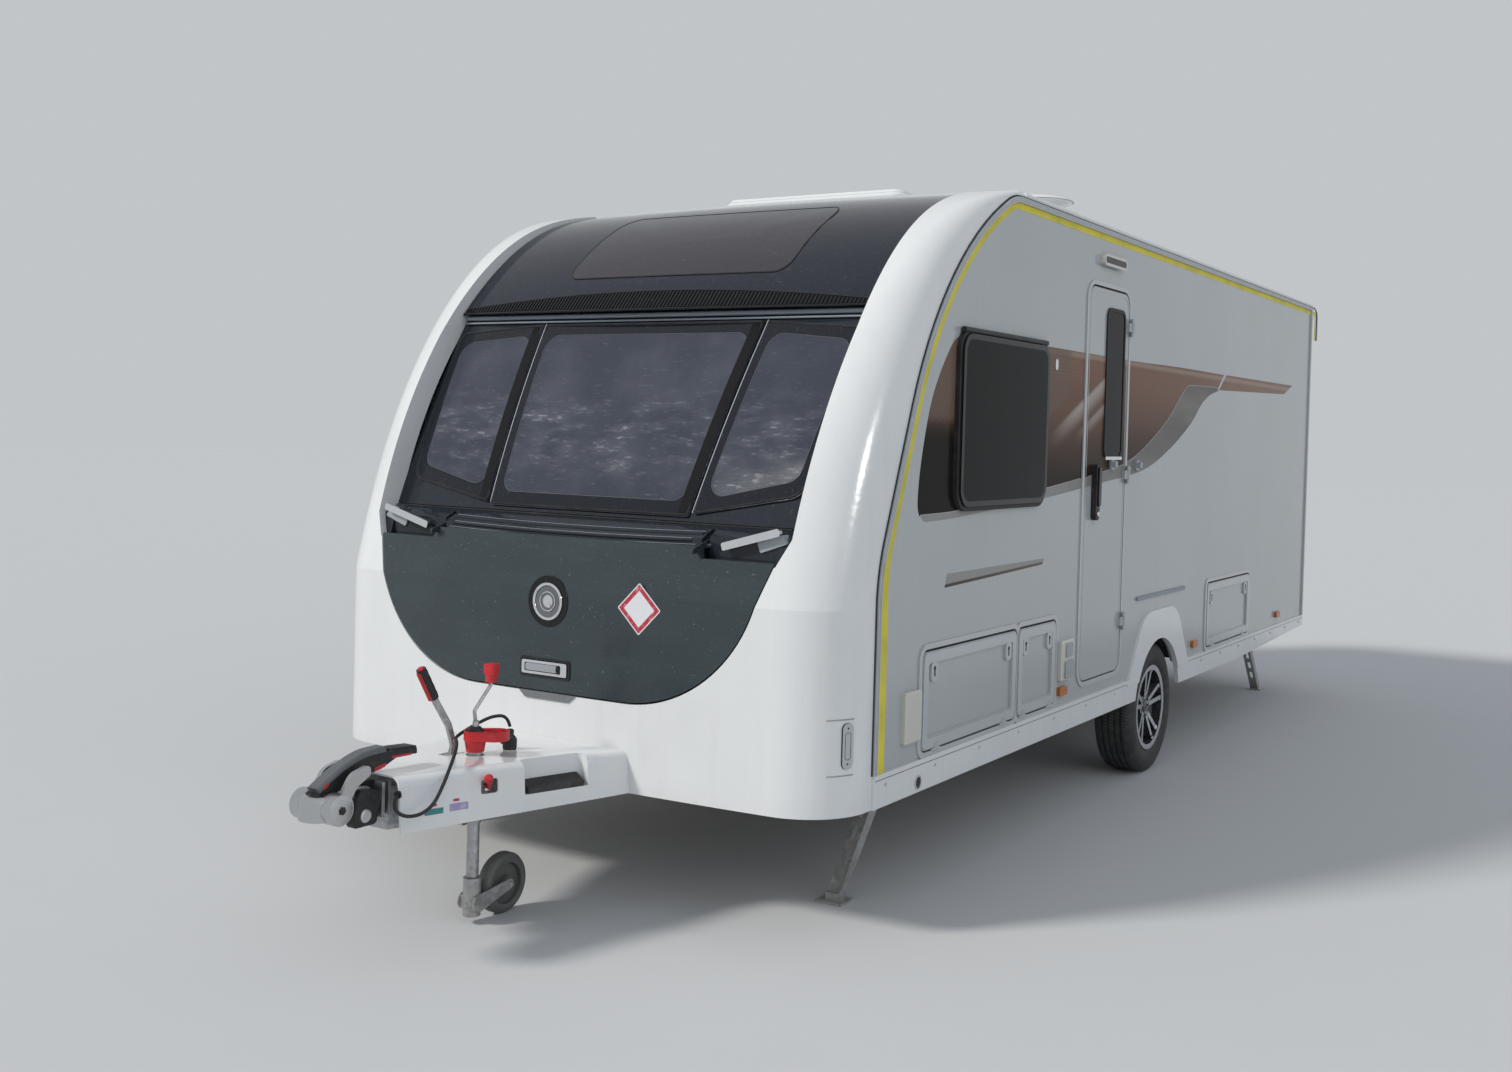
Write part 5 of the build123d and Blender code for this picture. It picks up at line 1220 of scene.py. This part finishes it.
def lid_badge():
    """Plain rings and a dome on a disc, in a shallow recess."""
    lid = "gas_locker_lid"
    at = facing(*from_ahead(lid, 0.0, 1.012))
    rings = Piece().turned(bead_profile(0.0605, 0.004, 0.0055, 0.0045, 14), sides=56)
    rings.turned(bead_profile(0.0330, 0.0040, 0.0022, 0.0022, 10), sides=40)
    rings.turned([(0, 0.0095), (0.010, 0.0090), (0.018, 0.0072), (0.022, 0.0035), (0.022, 0.0020),
                  (0, 0.0020)], sides=40)
    rings.set_on(at).finish("badge_rings", chrome, lid)
    disc = Piece().turned([(0, 0.0030), (0.058, 0.0030), (0.058, 0.0), (0, 0.0)], sides=48)
    disc.set_on(at).finish("badge_disc", shell_grey, lid)
    dish = Piece().turned([(0.060, 0.0012), (0.074, 0.0006), (0.0855, 0.0022), (0.0885, 0.0022),
                           (0.0895, 0.0), (0.060, 0.0)], sides=56)
    dish.set_on(at).finish("badge_recess", black_gloss, lid)


def lid_sign():
    """A blank diamond: pale rim, red band and pale field."""
    lid = "gas_locker_lid"
    at = facing(*from_ahead(lid, 0.390, 1.017), pi / 4)
    rim, band, field = 0.0622, 0.0582, 0.0438
    for label, material, outer, inner, lift in (("rim", paper, rim, band, 0.0011),
                                                ("band", paper_red, band, field, 0.0012)):
        ring = Piece().frame(around(outer, outer, 0.005), around(inner, inner, 0.002), Z, 0.0001, lift)
        ring.set_on(at).finish(f"diamond_{label}", material, lid, slot="red_plastic")
    plate = Piece().prism(around(field, field, 0.002), Z, 0.0001, 0.0010)
    plate.set_on(at).finish("diamond_field", paper, lid)


def lid_tab():
    """The grey trapezoid under the lid's edge that the handle's hand reaches past."""
    corners = [(-0.118, 0.696), (0.132, 0.696), (0.103, 0.672), (-0.090, 0.672)]
    loops = []
    for lift in (0.006, -0.004):
        loops.append([])
        for x, z in corners:
            spot = on_front("front_moulding", x, min(z, 0.690), lift)
            loops[-1].append((spot.x, spot.y, z))
    Piece().between(*loops).finish("lid_tab", tab_grey, soften=0.002)


lid_edge_seal()
lid_handle()
lid_badge()
lid_sign()
lid_tab()


# Front windows: seals, light border lines and blinds
def glass_point(x, z, lift):
    """A point on the leaning glass, or on its plane where a gap between panes lets the line through."""
    place, normal = from_ahead("front_windows", x, z)
    if place is None:
        place, normal = from_ahead("front_inner_panel", x, z)
        lift += 0.008
    return place + normal * lift


def drawn_in(corners, across, low, high, radius=None):
    """A pane's corners moved towards its middle, by distances across, at the bottom and at the top."""
    middle_u = sum(c[0] for c in corners) / 4
    middle_v = sum(c[1] for c in corners) / 4
    return [(u + (across if u < middle_u else -across), v + (low if v < middle_v else -high), radius or own)
            for u, v, own in corners]


def front_window(index, corners):
    edge = [glass_point(p.x, p.y, 0.0002) for p in rounded(drawn_in(corners, 0.006, 0.006, 0.006), 5)]
    Piece().tube(edge, 0.0042, 8, closed=True).finish(f"front_window_seal_{index}", rubber)
    outer, zone = paired(rounded(drawn_in(corners, 0.002, 0.002, 0.002)),
                         rounded(drawn_in(corners, 0.036, 0.052, 0.046, 0.055)))
    border = Piece()
    rings = [border.points(glass_point(p.x, p.y, lift) for p in line)
             for line, lift in ((outer, 0.0009), (zone, 0.0009), (zone, -0.001), (outer, -0.001))]
    border.skin(rings + rings[:1]).finish(f"front_window_border_{index}", border_navy)
    line = [glass_point(p.x, p.y, 0.0004) for p in zone]
    Piece().tube(line, 0.0011, 6, closed=True).finish(f"front_window_line_{index}", shell_grey)


def front_blind(index, corners):
    """A closed blind behind a pane."""
    rows_up, columns, behind = 10, 8, 0.052
    shown = drawn_in(corners, 0.035, 0.035, 0.035)
    low_left, high_left, high_right, low_right = (Vector(corner[:2]) for corner in shown)
    screen = Piece()
    grid = []
    for r in range(rows_up + 1):
        left = low_left.lerp(high_left, r / rows_up)
        right = low_right.lerp(high_right, r / rows_up)
        spots = [left.lerp(right, c / columns) for c in range(columns + 1)]
        grid.append(screen.points(glass_point(p.x, p.y, 0.0) + Vector((0, behind, 0)) for p in spots))
    screen.skin(grid, closed=False).thicken(0.003).finish(f"front_blind_{index}", blind)


def pillar(index, foot, head):
    """The black band and the pale line between two panes, from their foot to their head; the pale line is a
    painted glint along the panes' edges.
    """
    band = Piece()
    grid = []
    steps, low, height = 14, 1.335, 0.680
    for k in range(steps + 1):
        x = foot + (head - foot) * k / steps
        grid.append(band.points(glass_point(x - back, low + height * k / steps, 0.0024)
                                for back in (0.060, 0.030, 0.016)))
    band.skin(grid, closed=False).thicken(0.003).finish(f"pillar_band_{index}", pillar_black)
    # The pale line is a painted highlight: the glint along the panes' edges.
    steps, low, height = 16, 1.332, 0.684
    line = [glass_point(foot + (head - foot) * k / steps, low + height * k / steps, 0.0012)
            for k in range(steps + 1)]
    Piece().tube(line, 0.0016, 6).finish(f"pillar_glint_line_{index}", rail_pale)


for index, corners in enumerate(front_glass):
    front_window(index, corners)
    front_blind(index, corners)
for index, (foot, head) in enumerate(((-0.4525, -0.5115), (0.4665, 0.5255))):
    pillar(index, foot, head)


# The brow over the windows: rails, ribbed strip, comb and lips
brow_half = 0.950


def comb_top(x):
    """Height of the ribbed strip's upper edge."""
    return 2.086 + 0.055 * (1 - (x / brow_half) ** 2)


def brow():
    panel = "front_upper_panel"
    rails = Piece()
    for z, radius in ((2.025, 0.0040), (2.046, 0.0095)):
        rails.tube(across_front("front_inner_panel", 0.945, z, 0.008), radius, 10)
    rails.finish("brow_rails", rail_grey)
    strip = Piece()
    strip_low, columns, levels = 2.067, 48, 4
    grid = []
    for c in range(columns + 1):
        x = -brow_half + 2 * brow_half * c / columns
        rise = comb_top(x) - strip_low
        grid.append(strip.points(on_front(panel, x, strip_low + rise * r / levels, 0.0006)
                                 for r in range(levels + 1)))
    strip.skin(grid[::-1], closed=False).thicken(0.0012).finish("brow_strip", pillar_black)
    points, leans, sizes = [], [], []
    bars, half = 118, 0.940
    for k in range(bars):
        x = -half + 2 * half * k / (bars - 1)
        foot = on_front(panel, x, 2.071, 0.0012)
        tip = on_front(panel, x, comb_top(x) - 0.004, 0.0012)
        along = tip - foot
        points.append((foot + tip) / 2)
        leans.append((-atan2(along.y, along.z), 0.0, 0.0))
        sizes.append((0.0052, 0.0058, along.length))
    grow("brow_comb", comb_row, {"Finish": black_gloss}, black_gloss, points, {"lean": leans, "size": sizes})
    lip = Piece().tube(across_front(panel, brow_half, 2.066, 0.001), 0.005, 10)
    places = [-brow_half + 2 * brow_half * k / 40 for k in range(41)]
    lip.tube([on_front(panel, x, comb_top(x), 0.0004) for x in places], 0.0028, 8)
    lip.finish("brow_lip", black_gloss)


def sunroof():
    """The tinted roof window in the upper panel, with its dark edge."""
    panel = "front_upper_panel"
    centre = Vector((0.015, 2.352))
    outline = box_outline(-0.500, 0.530, 2.205, 2.500, 0.055, 8)
    fuller, _ = paired(outline, outline, 0.06)
    piece = Piece()
    loops = []
    for share in (0.02, 0.3, 0.55, 0.8, 1.0):
        spots = [centre.lerp(p, share) for p in fuller]
        loops.append(piece.points(on_front(panel, p.x, p.y, 0.0022) for p in spots))
    piece.mesh.faces.new(loops[0])
    piece.skin(loops).thicken(0.002).finish("sunroof_pane", sunroof_tint)
    edge = [on_front(panel, p.x, p.y, 0.0010) for p in fuller]
    Piece().tube(edge, 0.0030, 8, closed=True).finish("sunroof_seal", rubber)


def shelf_trim():
    """Three ribs with pale lines over them, and the seal at the windows' foot."""
    ribs = Piece()
    lines = Piece()
    for k, z in enumerate((1.234, 1.254, 1.274)):
        half = 0.605 - 0.020 * k
        ribs.tube(across_front("front_shelf", half, z, -0.0010, crown=-0.008), 0.0066, 10)
        lines.tube(across_front("front_shelf", half - 0.002, z + 0.0072, 0.0004, crown=-0.008), 0.0011, 6)
    ribs.finish("shelf_ribs", shelf_dark)
    lines.finish("shelf_lines", rail_grey)
    sill = Piece().tube(across_front("front_shelf", 0.880, 1.299, 0.001), 0.005, 8)
    sill.finish("window_sill_seal", rubber)


def grab_bars():
    """Chrome bars over dark recesses at the shelf's ends, with posts behind and a clear block under each."""
    bars = Piece()
    blocks = Piece()
    foot = Vector((0.665, 1.238))
    head = Vector((0.888, 1.299))
    along = (head - foot).normalized()
    over = Vector((-along.y, along.x)) * 0.0130
    bar = [(foot - over, 0.006), (head - over, 0.010), (head + over, 0.010), (foot + over, 0.006)]
    block = [(0.789, 1.262), (0.880, 1.288), (0.908, 1.262), (0.802, 1.225)]
    for side, _ in both_sides:
        bars.prism(rounded([(side * c.x, c.y, r) for c, r in bar], 5), Y, -2.620, -2.604)
        for share in (0.14, 0.76):
            spot = foot.lerp(head, share)
            bars.prism(around(0.016, 0.010, 0.006, side * spot.x, spot.y), Y, -2.606, -2.550)
        blocks.prism(rounded([(side * x, z, 0.006) for x, z in block], 4), Y, -2.597, -2.520)
    made = bars.finish("grab_bars", chrome, soften=0.0035, segments=3)
    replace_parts(made, "grab_handles")
    blocks.finish("grab_bar_blocks", clear, soften=0.003)


def corner_light(side, label):
    """A narrow oval lamp plate at a front corner of the moulding, with grey lines along the top and bottom of
    its shallow pocket as painted shade.
    """
    tangent = Vector((side * 0.437, 0.900, 0.0))
    outward = Vector((side * 0.900, -0.437, 0.0))
    corner = Vector((side * 1.1075, -2.531, 0.0))

    def on_corner(spot):
        return hit("front_moulding", spot + outward * 0.3, -outward)

    at = facing(*on_corner(corner + Vector((0, 0, 0.627))))
    plate = Piece().prism(around(0.0195, 0.0715, 0.0175), Z, -0.004, 0.0045)
    plate.set_on(at).finish(f"corner_light_{label}", frame_white, soften=0.002, slot="lamp")
    rim = Piece().frame(around(0.0220, 0.0740, 0.0200), around(0.0192, 0.0712, 0.0172), Z, -0.003, 0.0016)
    rim.frame(around(0.0115, 0.0440, 0.0100), around(0.0102, 0.0427, 0.0087), Z, 0.003, 0.0052)
    for height in (-0.057, 0.057):
        rim.turned([(0, 0.0052), (0.0032, 0.0052), (0.0036, 0.0040), (0, 0.0040)], (0, height, 0), sides=12)
    rim.set_on(at).finish(f"corner_light_rim_{label}", rubber)
    # The pocket is not cut into the moulding: thin grey lines at its top and bottom are painted shade.
    pocket = Piece()
    for low, high, z in ((-0.075, 0.026, 0.712), (-0.070, 0.026, 0.533)):
        spots = [corner + Vector((0, 0, z)) + tangent * (low + (high - low) * k / 8) for k in range(9)]
        pocket.tube([on_corner(spot)[0] for spot in spots], 0.0022, 8)
    pocket.finish(f"corner_pocket_shade_{label}", seam_shade)


brow()
sunroof()
shelf_trim()
grab_bars()
for side, label in both_sides:
    corner_light(side, label)


# Hitch: coupling head, stabiliser handle and drawtube bellows
ball_y, ball_z = -3.675, 0.492


def coupling_side(side, label):
    """Friction disc, curved arm, brackets and caps on one side of the coupling head."""
    ball = (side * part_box("coupling_head")[1][0], ball_y, ball_z)
    cap = Piece().turned([(0.0, 0.004), (0.030, 0.0035), (0.043, 0.0), (0.030, -0.002), (0, -0.002)], ball,
                         (side, 0, 0), 40)
    cap.finish(f"disc_cap_{label}", cast_silver)
    bolt = Piece().turned([(0.0, 0.009), (0.010, 0.009), (0.013, 0.006), (0.013, 0.002), (0, 0.002)], ball,
                          (side, 0, 0), 6)
    bolt.finish(f"disc_bolt_{label}", black)
    arm = rounded([(-3.690, 0.486, 0.020), (-3.648, 0.474, 0.020), (-3.600, 0.545, 0.05),
                   (-3.548, 0.572, 0.015), (-3.552, 0.604, 0.015), (-3.622, 0.586, 0.05)])
    Piece().prism(arm, X, side * 0.052, side * 0.0665).finish(
        f"curved_arm_{label}", cast_silver, soften=0.004, segments=3)
    bracket = Piece()
    for low, high in ((-3.506, -3.494), (-3.482, -3.470)):
        bracket.box(sorted((side * 0.036, side * 0.068)), (low, high), (0.436, 0.540))
    bracket.finish(f"head_brackets_{label}", satin, soften=0.002)
    housing = rounded([(-3.615, 0.420, 0.015), (-3.520, 0.420, 0.015), (-3.500, 0.520, 0.02),
                       (-3.590, 0.530, 0.02)], 5)
    Piece().prism(housing, X, side * 0.034, side * 0.062).finish(f"head_housing_{label}", black, soften=0.004)
    stud = Piece().turned([(0.0, 0.010), (0.016, 0.010), (0.020, 0.006), (0.021, 0.0), (0, 0.0)],
                          (side * 0.061, -3.565, 0.452), (side, 0, 0), 28)
    stud.finish(f"head_cap_{label}", satin)


def stabiliser_handle():
    """Shell over the handle's back, black grip and red inserts in its sides."""
    spine = smooth_line([(0, -3.704, 0.545), (0, -3.668, 0.566), (0, -3.606, 0.597), (0, -3.532, 0.6205),
                         (0, -3.452, 0.6245)], 6)
    shell = Piece()
    for x in (-0.013, 0.0, 0.013):
        shell.tube([p + Vector((x, 0, -0.002)) for p in spine], 0.0135, 12, flat=0.9)
    shell.finish("handle_shell", shell_grey)
    grip = rounded([(-3.440, 0.606, 0.003), (-3.330, 0.600, 0.003), (-3.327, 0.618, 0.004),
                    (-3.440, 0.626, 0.004)], 4)
    Piece().prism(grip, X, -0.024, 0.024).finish("handle_grip", black, soften=0.004)
    inserts = [(0.0265, 0.002, (-3.430, 0.594), (-3.350, 0.592), (-3.350, 0.599), (-3.430, 0.602)),
               (0.0268, 0.003, (-3.500, 0.566), (-3.455, 0.574), (-3.452, 0.586), (-3.498, 0.578)),
               (0.0268, 0.003, (-3.690, 0.546), (-3.672, 0.556), (-3.676, 0.564), (-3.692, 0.554))]
    red_parts = Piece()
    for half, radius, *corners in inserts:
        red_parts.prism(rounded([(y, z, radius) for y, z in corners], 3), X, -half, half)
    red_parts.finish("handle_red_inserts", red, soften=0.0008)


def drawtube_bellows():
    folds, pitch, mouth = 9, 0.0085, 0.034
    profile = [(mouth, 0.0)]
    for k in range(folds):
        y = 0.004 + k * pitch
        profile += [(0.050 - 0.0009 * k, y), (0.058 - 0.0010 * k, y + 0.0042)]
    profile.append((mouth, folds * pitch + 0.006))
    start = (0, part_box("a_frame_fairing")[0][1] - 0.001, 0.480)
    Piece().turned(profile, start, (0, -1, 0), 40).finish("drawtube_bellows", rubber)


def handbrake():
    """Grip with finger waves and a red face, push button and rivets."""
    aim = Vector((0, -3.253 + 3.197, 0.825 - 0.732)).normalized()
    top = Vector((-0.030, -3.253, 0.825))
    start = top - aim * 0.098
    line = [start + aim * (0.116 * k / 8) for k in range(9)]
    waves = [0.0155] + [0.0172, 0.0165] * 3 + [0.0172, 0.0158]
    Piece().tube(line, waves, 16).finish("handbrake_grip", black)
    back = Vector((0, aim.z, -aim.y))
    face = [start + aim * t - back * 0.0135 for t in (0.004, 0.110)]
    Piece().tube(face, 0.0085, 12).finish("handbrake_grip_red", red)
    button = Piece().turned([(0, 0.006), (0.009, 0.005), (0.011, 0.0), (0.011, -0.006), (0, -0.006)],
                            top + aim * 0.018, aim, 20)
    button.finish("handbrake_button", red)
    rivets = Piece()
    for y, z in ((-3.112, 0.590), (-3.150, 0.665)):
        rivets.turned([(0, 0.004), (0.006, 0.003), (0.008, 0.0), (0, 0.0)], (-0.0238, y, z), along_x, 16)
    rivets.finish("handbrake_rivets", zinc)


def jockey_trim():
    """Crank knob, cap and nut on the jockey's tube, and the nuts of its axle."""
    tube_x, tube_y, knob_y = 0.038, -3.082, -3.014
    knob = Piece().prism(around(0.0215, 0.0175, 0.007, tube_x, knob_y), Z, 0.803, 0.836)
    knob.prism(around(0.0172, 0.0165, 0.012, tube_x, knob_y), Z, 0.776, 0.805)
    knob.finish("crank_knob", red, soften=0.004, segments=3)
    cap = Piece().turned([(0, 0.012), (0.016, 0.010), (0.024, 0.002), (0.028, -0.010), (0, -0.010)],
                         (tube_x, tube_y, 0.630), sides=28)
    cap.finish("jockey_cap", black)
    nut = Piece().turned([(0, 0.016), (0.008, 0.016), (0.0105, 0.012), (0.0105, 0.0), (0, 0.0)],
                         (tube_x, tube_y, 0.642), sides=6)
    nut.finish("crank_nut", zinc)
    nuts = Piece()
    for side, _ in both_sides:
        nuts.turned([(0, 0.005), (0.009, 0.005), (0.011, 0.002), (0.011, 0.0), (0, 0.0)],
                    (tube_x + side * 0.0420, -2.942, 0.100), (side, 0, 0), 6)
    nuts.finish("jockey_axle_nuts", zinc, "jockey_fork")


def plug_trim():
    """Ribs, collar and hinge of the tow plug."""
    x, y, top = 0.060, -2.943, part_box("tow_plug")[1][2]
    ribs = Piece()
    for k in range(16):
        angle = 2 * pi * k / 16
        spot = Vector((x + 0.0218 * cos(angle), y + 0.0218 * sin(angle), 0))
        ribs.tube([spot + Vector((0, 0, top - 0.062)), spot + Vector((0, 0, top - 0.032))], 0.0016, 6)
    ribs.finish("plug_ribs", black)
    collar = Piece().turned([(0.0105, 0.0), (0.0130, 0.002), (0.0130, 0.008), (0.0112, 0.010), (0.0112, 0.0)],
                            (x, y, top - 0.015), sides=24)
    collar.finish("plug_collar", black_gloss)
    hinge = [(x - 0.026, y + across, top - 0.045) for across in (-0.010, 0.010)]
    Piece().tube(hinge, 0.007, 12).finish("plug_hinge", black)


def stickers():
    """Blank stickers on the fairing's door side: name, finish, half length, y, low and high z."""
    labels = [("front_label", paper, 0.035, -3.392, 0.470, 0.520),
              ("green_label", paper_green, 0.030, -3.372, 0.430, 0.448),
              ("violet_label", paper_violet, 0.030, -3.292, 0.432, 0.454),
              ("red_mark_one", paper_red, 0.010, -3.372, 0.454, 0.462),
              ("red_mark_two", paper_red, 0.010, -3.300, 0.460, 0.468)]
    for name, material, half, y, z0, z1 in labels:
        corners = []
        for t, z in ((-half, z0), (half, z0), (half, z1), (-half, z1)):
            place, normal = hit("a_frame_fairing", (1.0, y + t, z), (-1, 0, 0))
            corners.append(place + normal * 0.0006)
        label = Piece()
        label.mesh.faces.new(label.points(corners))
        label.thicken(0.0004).finish(name, material)


for side, label in both_sides:
    coupling_side(side, label)
stabiliser_handle()
drawtube_bellows()
handbrake()
jockey_trim()
plug_trim()
stickers()


# Wheels: tyres with grooves, hub caps, bolts and valves
def wheel(side, label):
    body = f"wheel_{label}"
    w = tyre_width / 2
    r = tyre_radius
    outer = [(0.191, -w + 0.0225), (0.2085, -w + 0.0185), (0.222, -w + 0.005), (0.250, -w + 0.0008),
             (0.262, -w), (0.285, -w + 0.003), (0.301, -w + 0.009), (r - 0.006, -w + 0.018),
             (r - 0.001, -w + 0.032), (r, -0.056)]
    grooves = []
    for centre in (-0.045, -0.015, 0.015, 0.045):
        grooves += [(r, centre - 0.0050), (r - 0.0075, centre - 0.0036), (r - 0.0075, centre + 0.0036),
                    (r, centre + 0.0050)]
    inner = [(0.191, w - 0.038), (0.228, w - 0.017), (0.262, w - 0.012), (0.290, w - 0.020),
             (0.303, w - 0.038)]
    profile = outer + grooves + [(a, -b) for a, b in outer[::-1]] + inner + [(a, -b) for a, b in inner[::-1]]
    tyre = Piece().turned(profile, (side * (tyre_outer_x - w), wheel_y, wheel_z), along_x, 96)
    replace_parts(tyre.finish(f"road_tyre_{label}", tyre_black, body, crease=40), f"tyre_{label}")
    face = side * (tyre_outer_x - w + 0.058)
    cap = Piece().turned([(0, 0.006), (0.016, 0.0055), (0.026, 0.003), (0.029, -0.002), (0, -0.002)],
                         (face, wheel_y, wheel_z), (side, 0, 0), 36)
    cap.finish(f"hub_cap_{label}", alloy, body)
    bolts = Piece()
    bolt_circle = 0.044
    for k in range(5):
        angle = radians(90 + 72 * k)
        place = (face - side * 0.006, wheel_y + bolt_circle * cos(angle), wheel_z + bolt_circle * sin(angle))
        bolts.turned([(0, 0.009), (0.0075, 0.009), (0.009, 0.007), (0.009, -0.004), (0, -0.004)], place,
                     (side, 0, 0), 6)
    bolts.finish(f"wheel_bolts_{label}", chrome, body)
    valve = Piece().tube([(side * (tyre_outer_x - 0.030), wheel_y + 0.060, wheel_z - 0.162),
                          (side * (tyre_outer_x - 0.008), wheel_y + 0.056, wheel_z - 0.150)], 0.004, 10)
    valve.finish(f"tyre_valve_{label}", rubber, body)


for side, label in both_sides:
    wheel(side, label)


# Rear: window seal, lamp lenses, grab rails, blank plate and corner lamps
def rear_plate(name, outline, y0, y1, material, soften):
    Piece().prism(outline, Y, y0, y1).finish(name, material, soften=soften)


def rear_details():
    y = rear_y
    (x0, _, z0), (x1, _, z1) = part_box("rear_window")
    pane = (x0, x1, z0, z1, 0.085)
    Piece().frame(edge_outline(pane, 0.010), edge_outline(pane, -0.020), Y, y - 0.001, y + 0.016).finish(
        "rear_window_seal", rubber, soften=0.003)
    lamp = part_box("rear_lamps")[1]
    lenses = (("brake", red_lens, 0.700, 0.820), ("turn", amber_lens, 0.835, 0.925),
              ("reverse", clear_lens, 0.940, 1.000), ("tail", red_lens, 1.015, 1.090))
    rail = ((0.001, 1.10), (0.045, 1.12), (0.050, 1.30), (0.045, 1.48), (0.001, 1.50))
    for side, label in both_sides:
        middle = side * (lamp[0] - 0.060)
        for name, material, low, high in lenses:
            rear_plate(f"{name}_lens_{label}", box_outline(middle - 0.045, middle + 0.045, low, high, 0.012),
                       lamp[1] - 0.001, lamp[1] + 0.006, material, 0.003)
        Piece().tube(smooth_line([(side * 0.86, y + out, z) for out, z in rail], 6), 0.012, 14).finish(
            f"rear_grab_rail_{label}", rail_grey)
    rear_plate("blank_plate", box_outline(-0.270, 0.270, 0.720, 0.840, 0.008), y, y + 0.012, paper, 0.002)
    rear_plate("high_brake_lens", box_outline(-0.160, 0.160, 2.300, 2.330, 0.010), y, y + 0.014,
               red_lens, 0.003)
    for side, label in both_sides:
        pod = Piece().turned([(0, 0.056), (0.020, 0.053), (0.036, 0.042), (0.044, 0.022), (0.045, -0.006),
                              (0, -0.006)], (side * 1.062, y, 2.490), along_y, 32)
        pod.finish(f"rear_pod_{label}", black_gloss, slot="lamp")


rear_details()


# Roof: rooflight band and screws, round aerial
def rooflight_trim():
    (x0, y0, _), (x1, y1, top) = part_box("rooflight")
    outer, inner = ((x0 + inset, x1 - inset, y0 + inset, y1 - inset) for inset in (0.030, 0.052))
    Piece().frame(box_outline(*outer, 0.05), box_outline(*inner, 0.035), Z, top - 0.020, top - 0.013).finish(
        "rooflight_band", rail_grey, soften=0.002)
    for index, y in enumerate((y0 + 0.012, y1 - 0.012)):
        row(f"rooflight_screws_{index}", screw_row, (x0 + 0.10, y, top - 0.039),
            (x1 - 0.10, y, top - 0.039), 7, (0.010, 0.010, 0.004), upright, satin)


def aerial_saucer():
    """The round aerial: a shallow saucer on a short mast, with a seam round its edge."""
    (x0, y0, low), (x1, y1, _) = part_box("aerial_dome")
    centre = ((x0 + x1) / 2, (y0 + y1) / 2, 0)
    r = (x1 - x0) / 2
    rim = 2.700
    dish = Piece().turned([(0, rim + 0.026), (r * 0.35, rim + 0.024), (r * 0.70, rim + 0.017),
                           (r * 0.93, rim + 0.007), (r, rim - 0.002), (r * 0.97, rim - 0.010),
                           (r * 0.80, rim - 0.018), (r * 0.45, rim - 0.030), (0.052, rim - 0.040),
                           (0.045, low + 0.020), (0.078, low + 0.004), (0.080, low), (0, low)],
                          centre, sides=48)
    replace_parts(dish.finish("aerial_saucer", white, crease=40), "aerial_dome")
    seam = Piece().turned(bead_profile(r + 0.0006, rim - 0.004, 0.0016, 0.0016, 8), centre, sides=48)
    seam.finish("aerial_seam", seam_shade)


rooflight_trim()
aerial_saucer()


# Stage and light
def make_floor():
    floor = bpy.data.meshes.new("floor")
    grid = bmesh.new()
    bmesh.ops.create_grid(grid, x_segments=1, y_segments=1, size=60.0)
    grid.to_mesh(floor)
    grid.free()
    made = bpy.data.objects.new("floor", floor)
    bpy.context.scene.collection.objects.link(made)
    s = Surface("floor_pale")
    base = s.mix(s.noise(3.0, 4.0) * 0.3, rgb(0.565, 0.57, 0.575), rgb(0.535, 0.54, 0.545))
    floor.materials.append(s.done(base, 0.9, Specular_IOR_Level=0.1))


def make_world():
    """A cool dome that lights the scene, and a pale backdrop where it is seen or mirrored."""
    world = bpy.data.worlds.new("studio")
    bpy.context.scene.world = world
    world.use_nodes = True
    tree = world.node_tree
    tree.nodes.clear()
    rays = tree.nodes.new("ShaderNodeLightPath")
    shown = rays.outputs["Is Camera Ray"]
    for kind in ("Is Transmission Ray", "Is Glossy Ray"):
        either = tree.nodes.new("ShaderNodeMath")
        either.operation = "MAXIMUM"
        tree.links.new(shown, either.inputs[0])
        tree.links.new(rays.outputs[kind], either.inputs[1])
        shown = either.outputs[0]
    blend = tree.nodes.new("ShaderNodeMixShader")
    tree.links.new(shown, blend.inputs[0])
    for place, colour, strength in ((1, rgb(0.86, 0.92, 1.0), 0.55), (2, rgb(0.540, 0.560, 0.578), 1.0)):
        light = tree.nodes.new("ShaderNodeBackground")
        light.inputs["Color"].default_value = colour
        light.inputs["Strength"].default_value = strength
        tree.links.new(light.outputs[0], blend.inputs[place])
    out = tree.nodes.new("ShaderNodeOutputWorld")
    tree.links.new(blend.outputs[0], out.inputs["Surface"])


def make_suns():
    """Suns: name, direction, strength, spread, colour, whether it lights and whether it mirrors."""
    suns = (("key", (0.50, 0.62, -0.62), 2.3, 9.0, (1.0, 0.97, 0.92), True, False),
            ("fill", (-0.75, 0.35, -0.50), 0.35, 50.0, (0.85, 0.92, 1.0), True, False),
            ("spark", (-0.93, 0.12, -0.35), 0.7, 5.0, (1.0, 0.98, 0.95), False, True))
    for name, toward, strength, spread, colour, lights, shines in suns:
        lamp = bpy.data.lights.new(name, "SUN")
        lamp.energy = strength
        lamp.angle = radians(spread)
        lamp.color = colour
        made = bpy.data.objects.new(name, lamp)
        made.rotation_euler = Vector(toward).to_track_quat("-Z", "Y").to_euler()
        made.visible_diffuse = lights
        made.visible_glossy = shines
        bpy.context.scene.collection.objects.link(made)


make_floor()
make_world()
make_suns()
bpy.context.scene.view_settings.view_transform = "Standard"
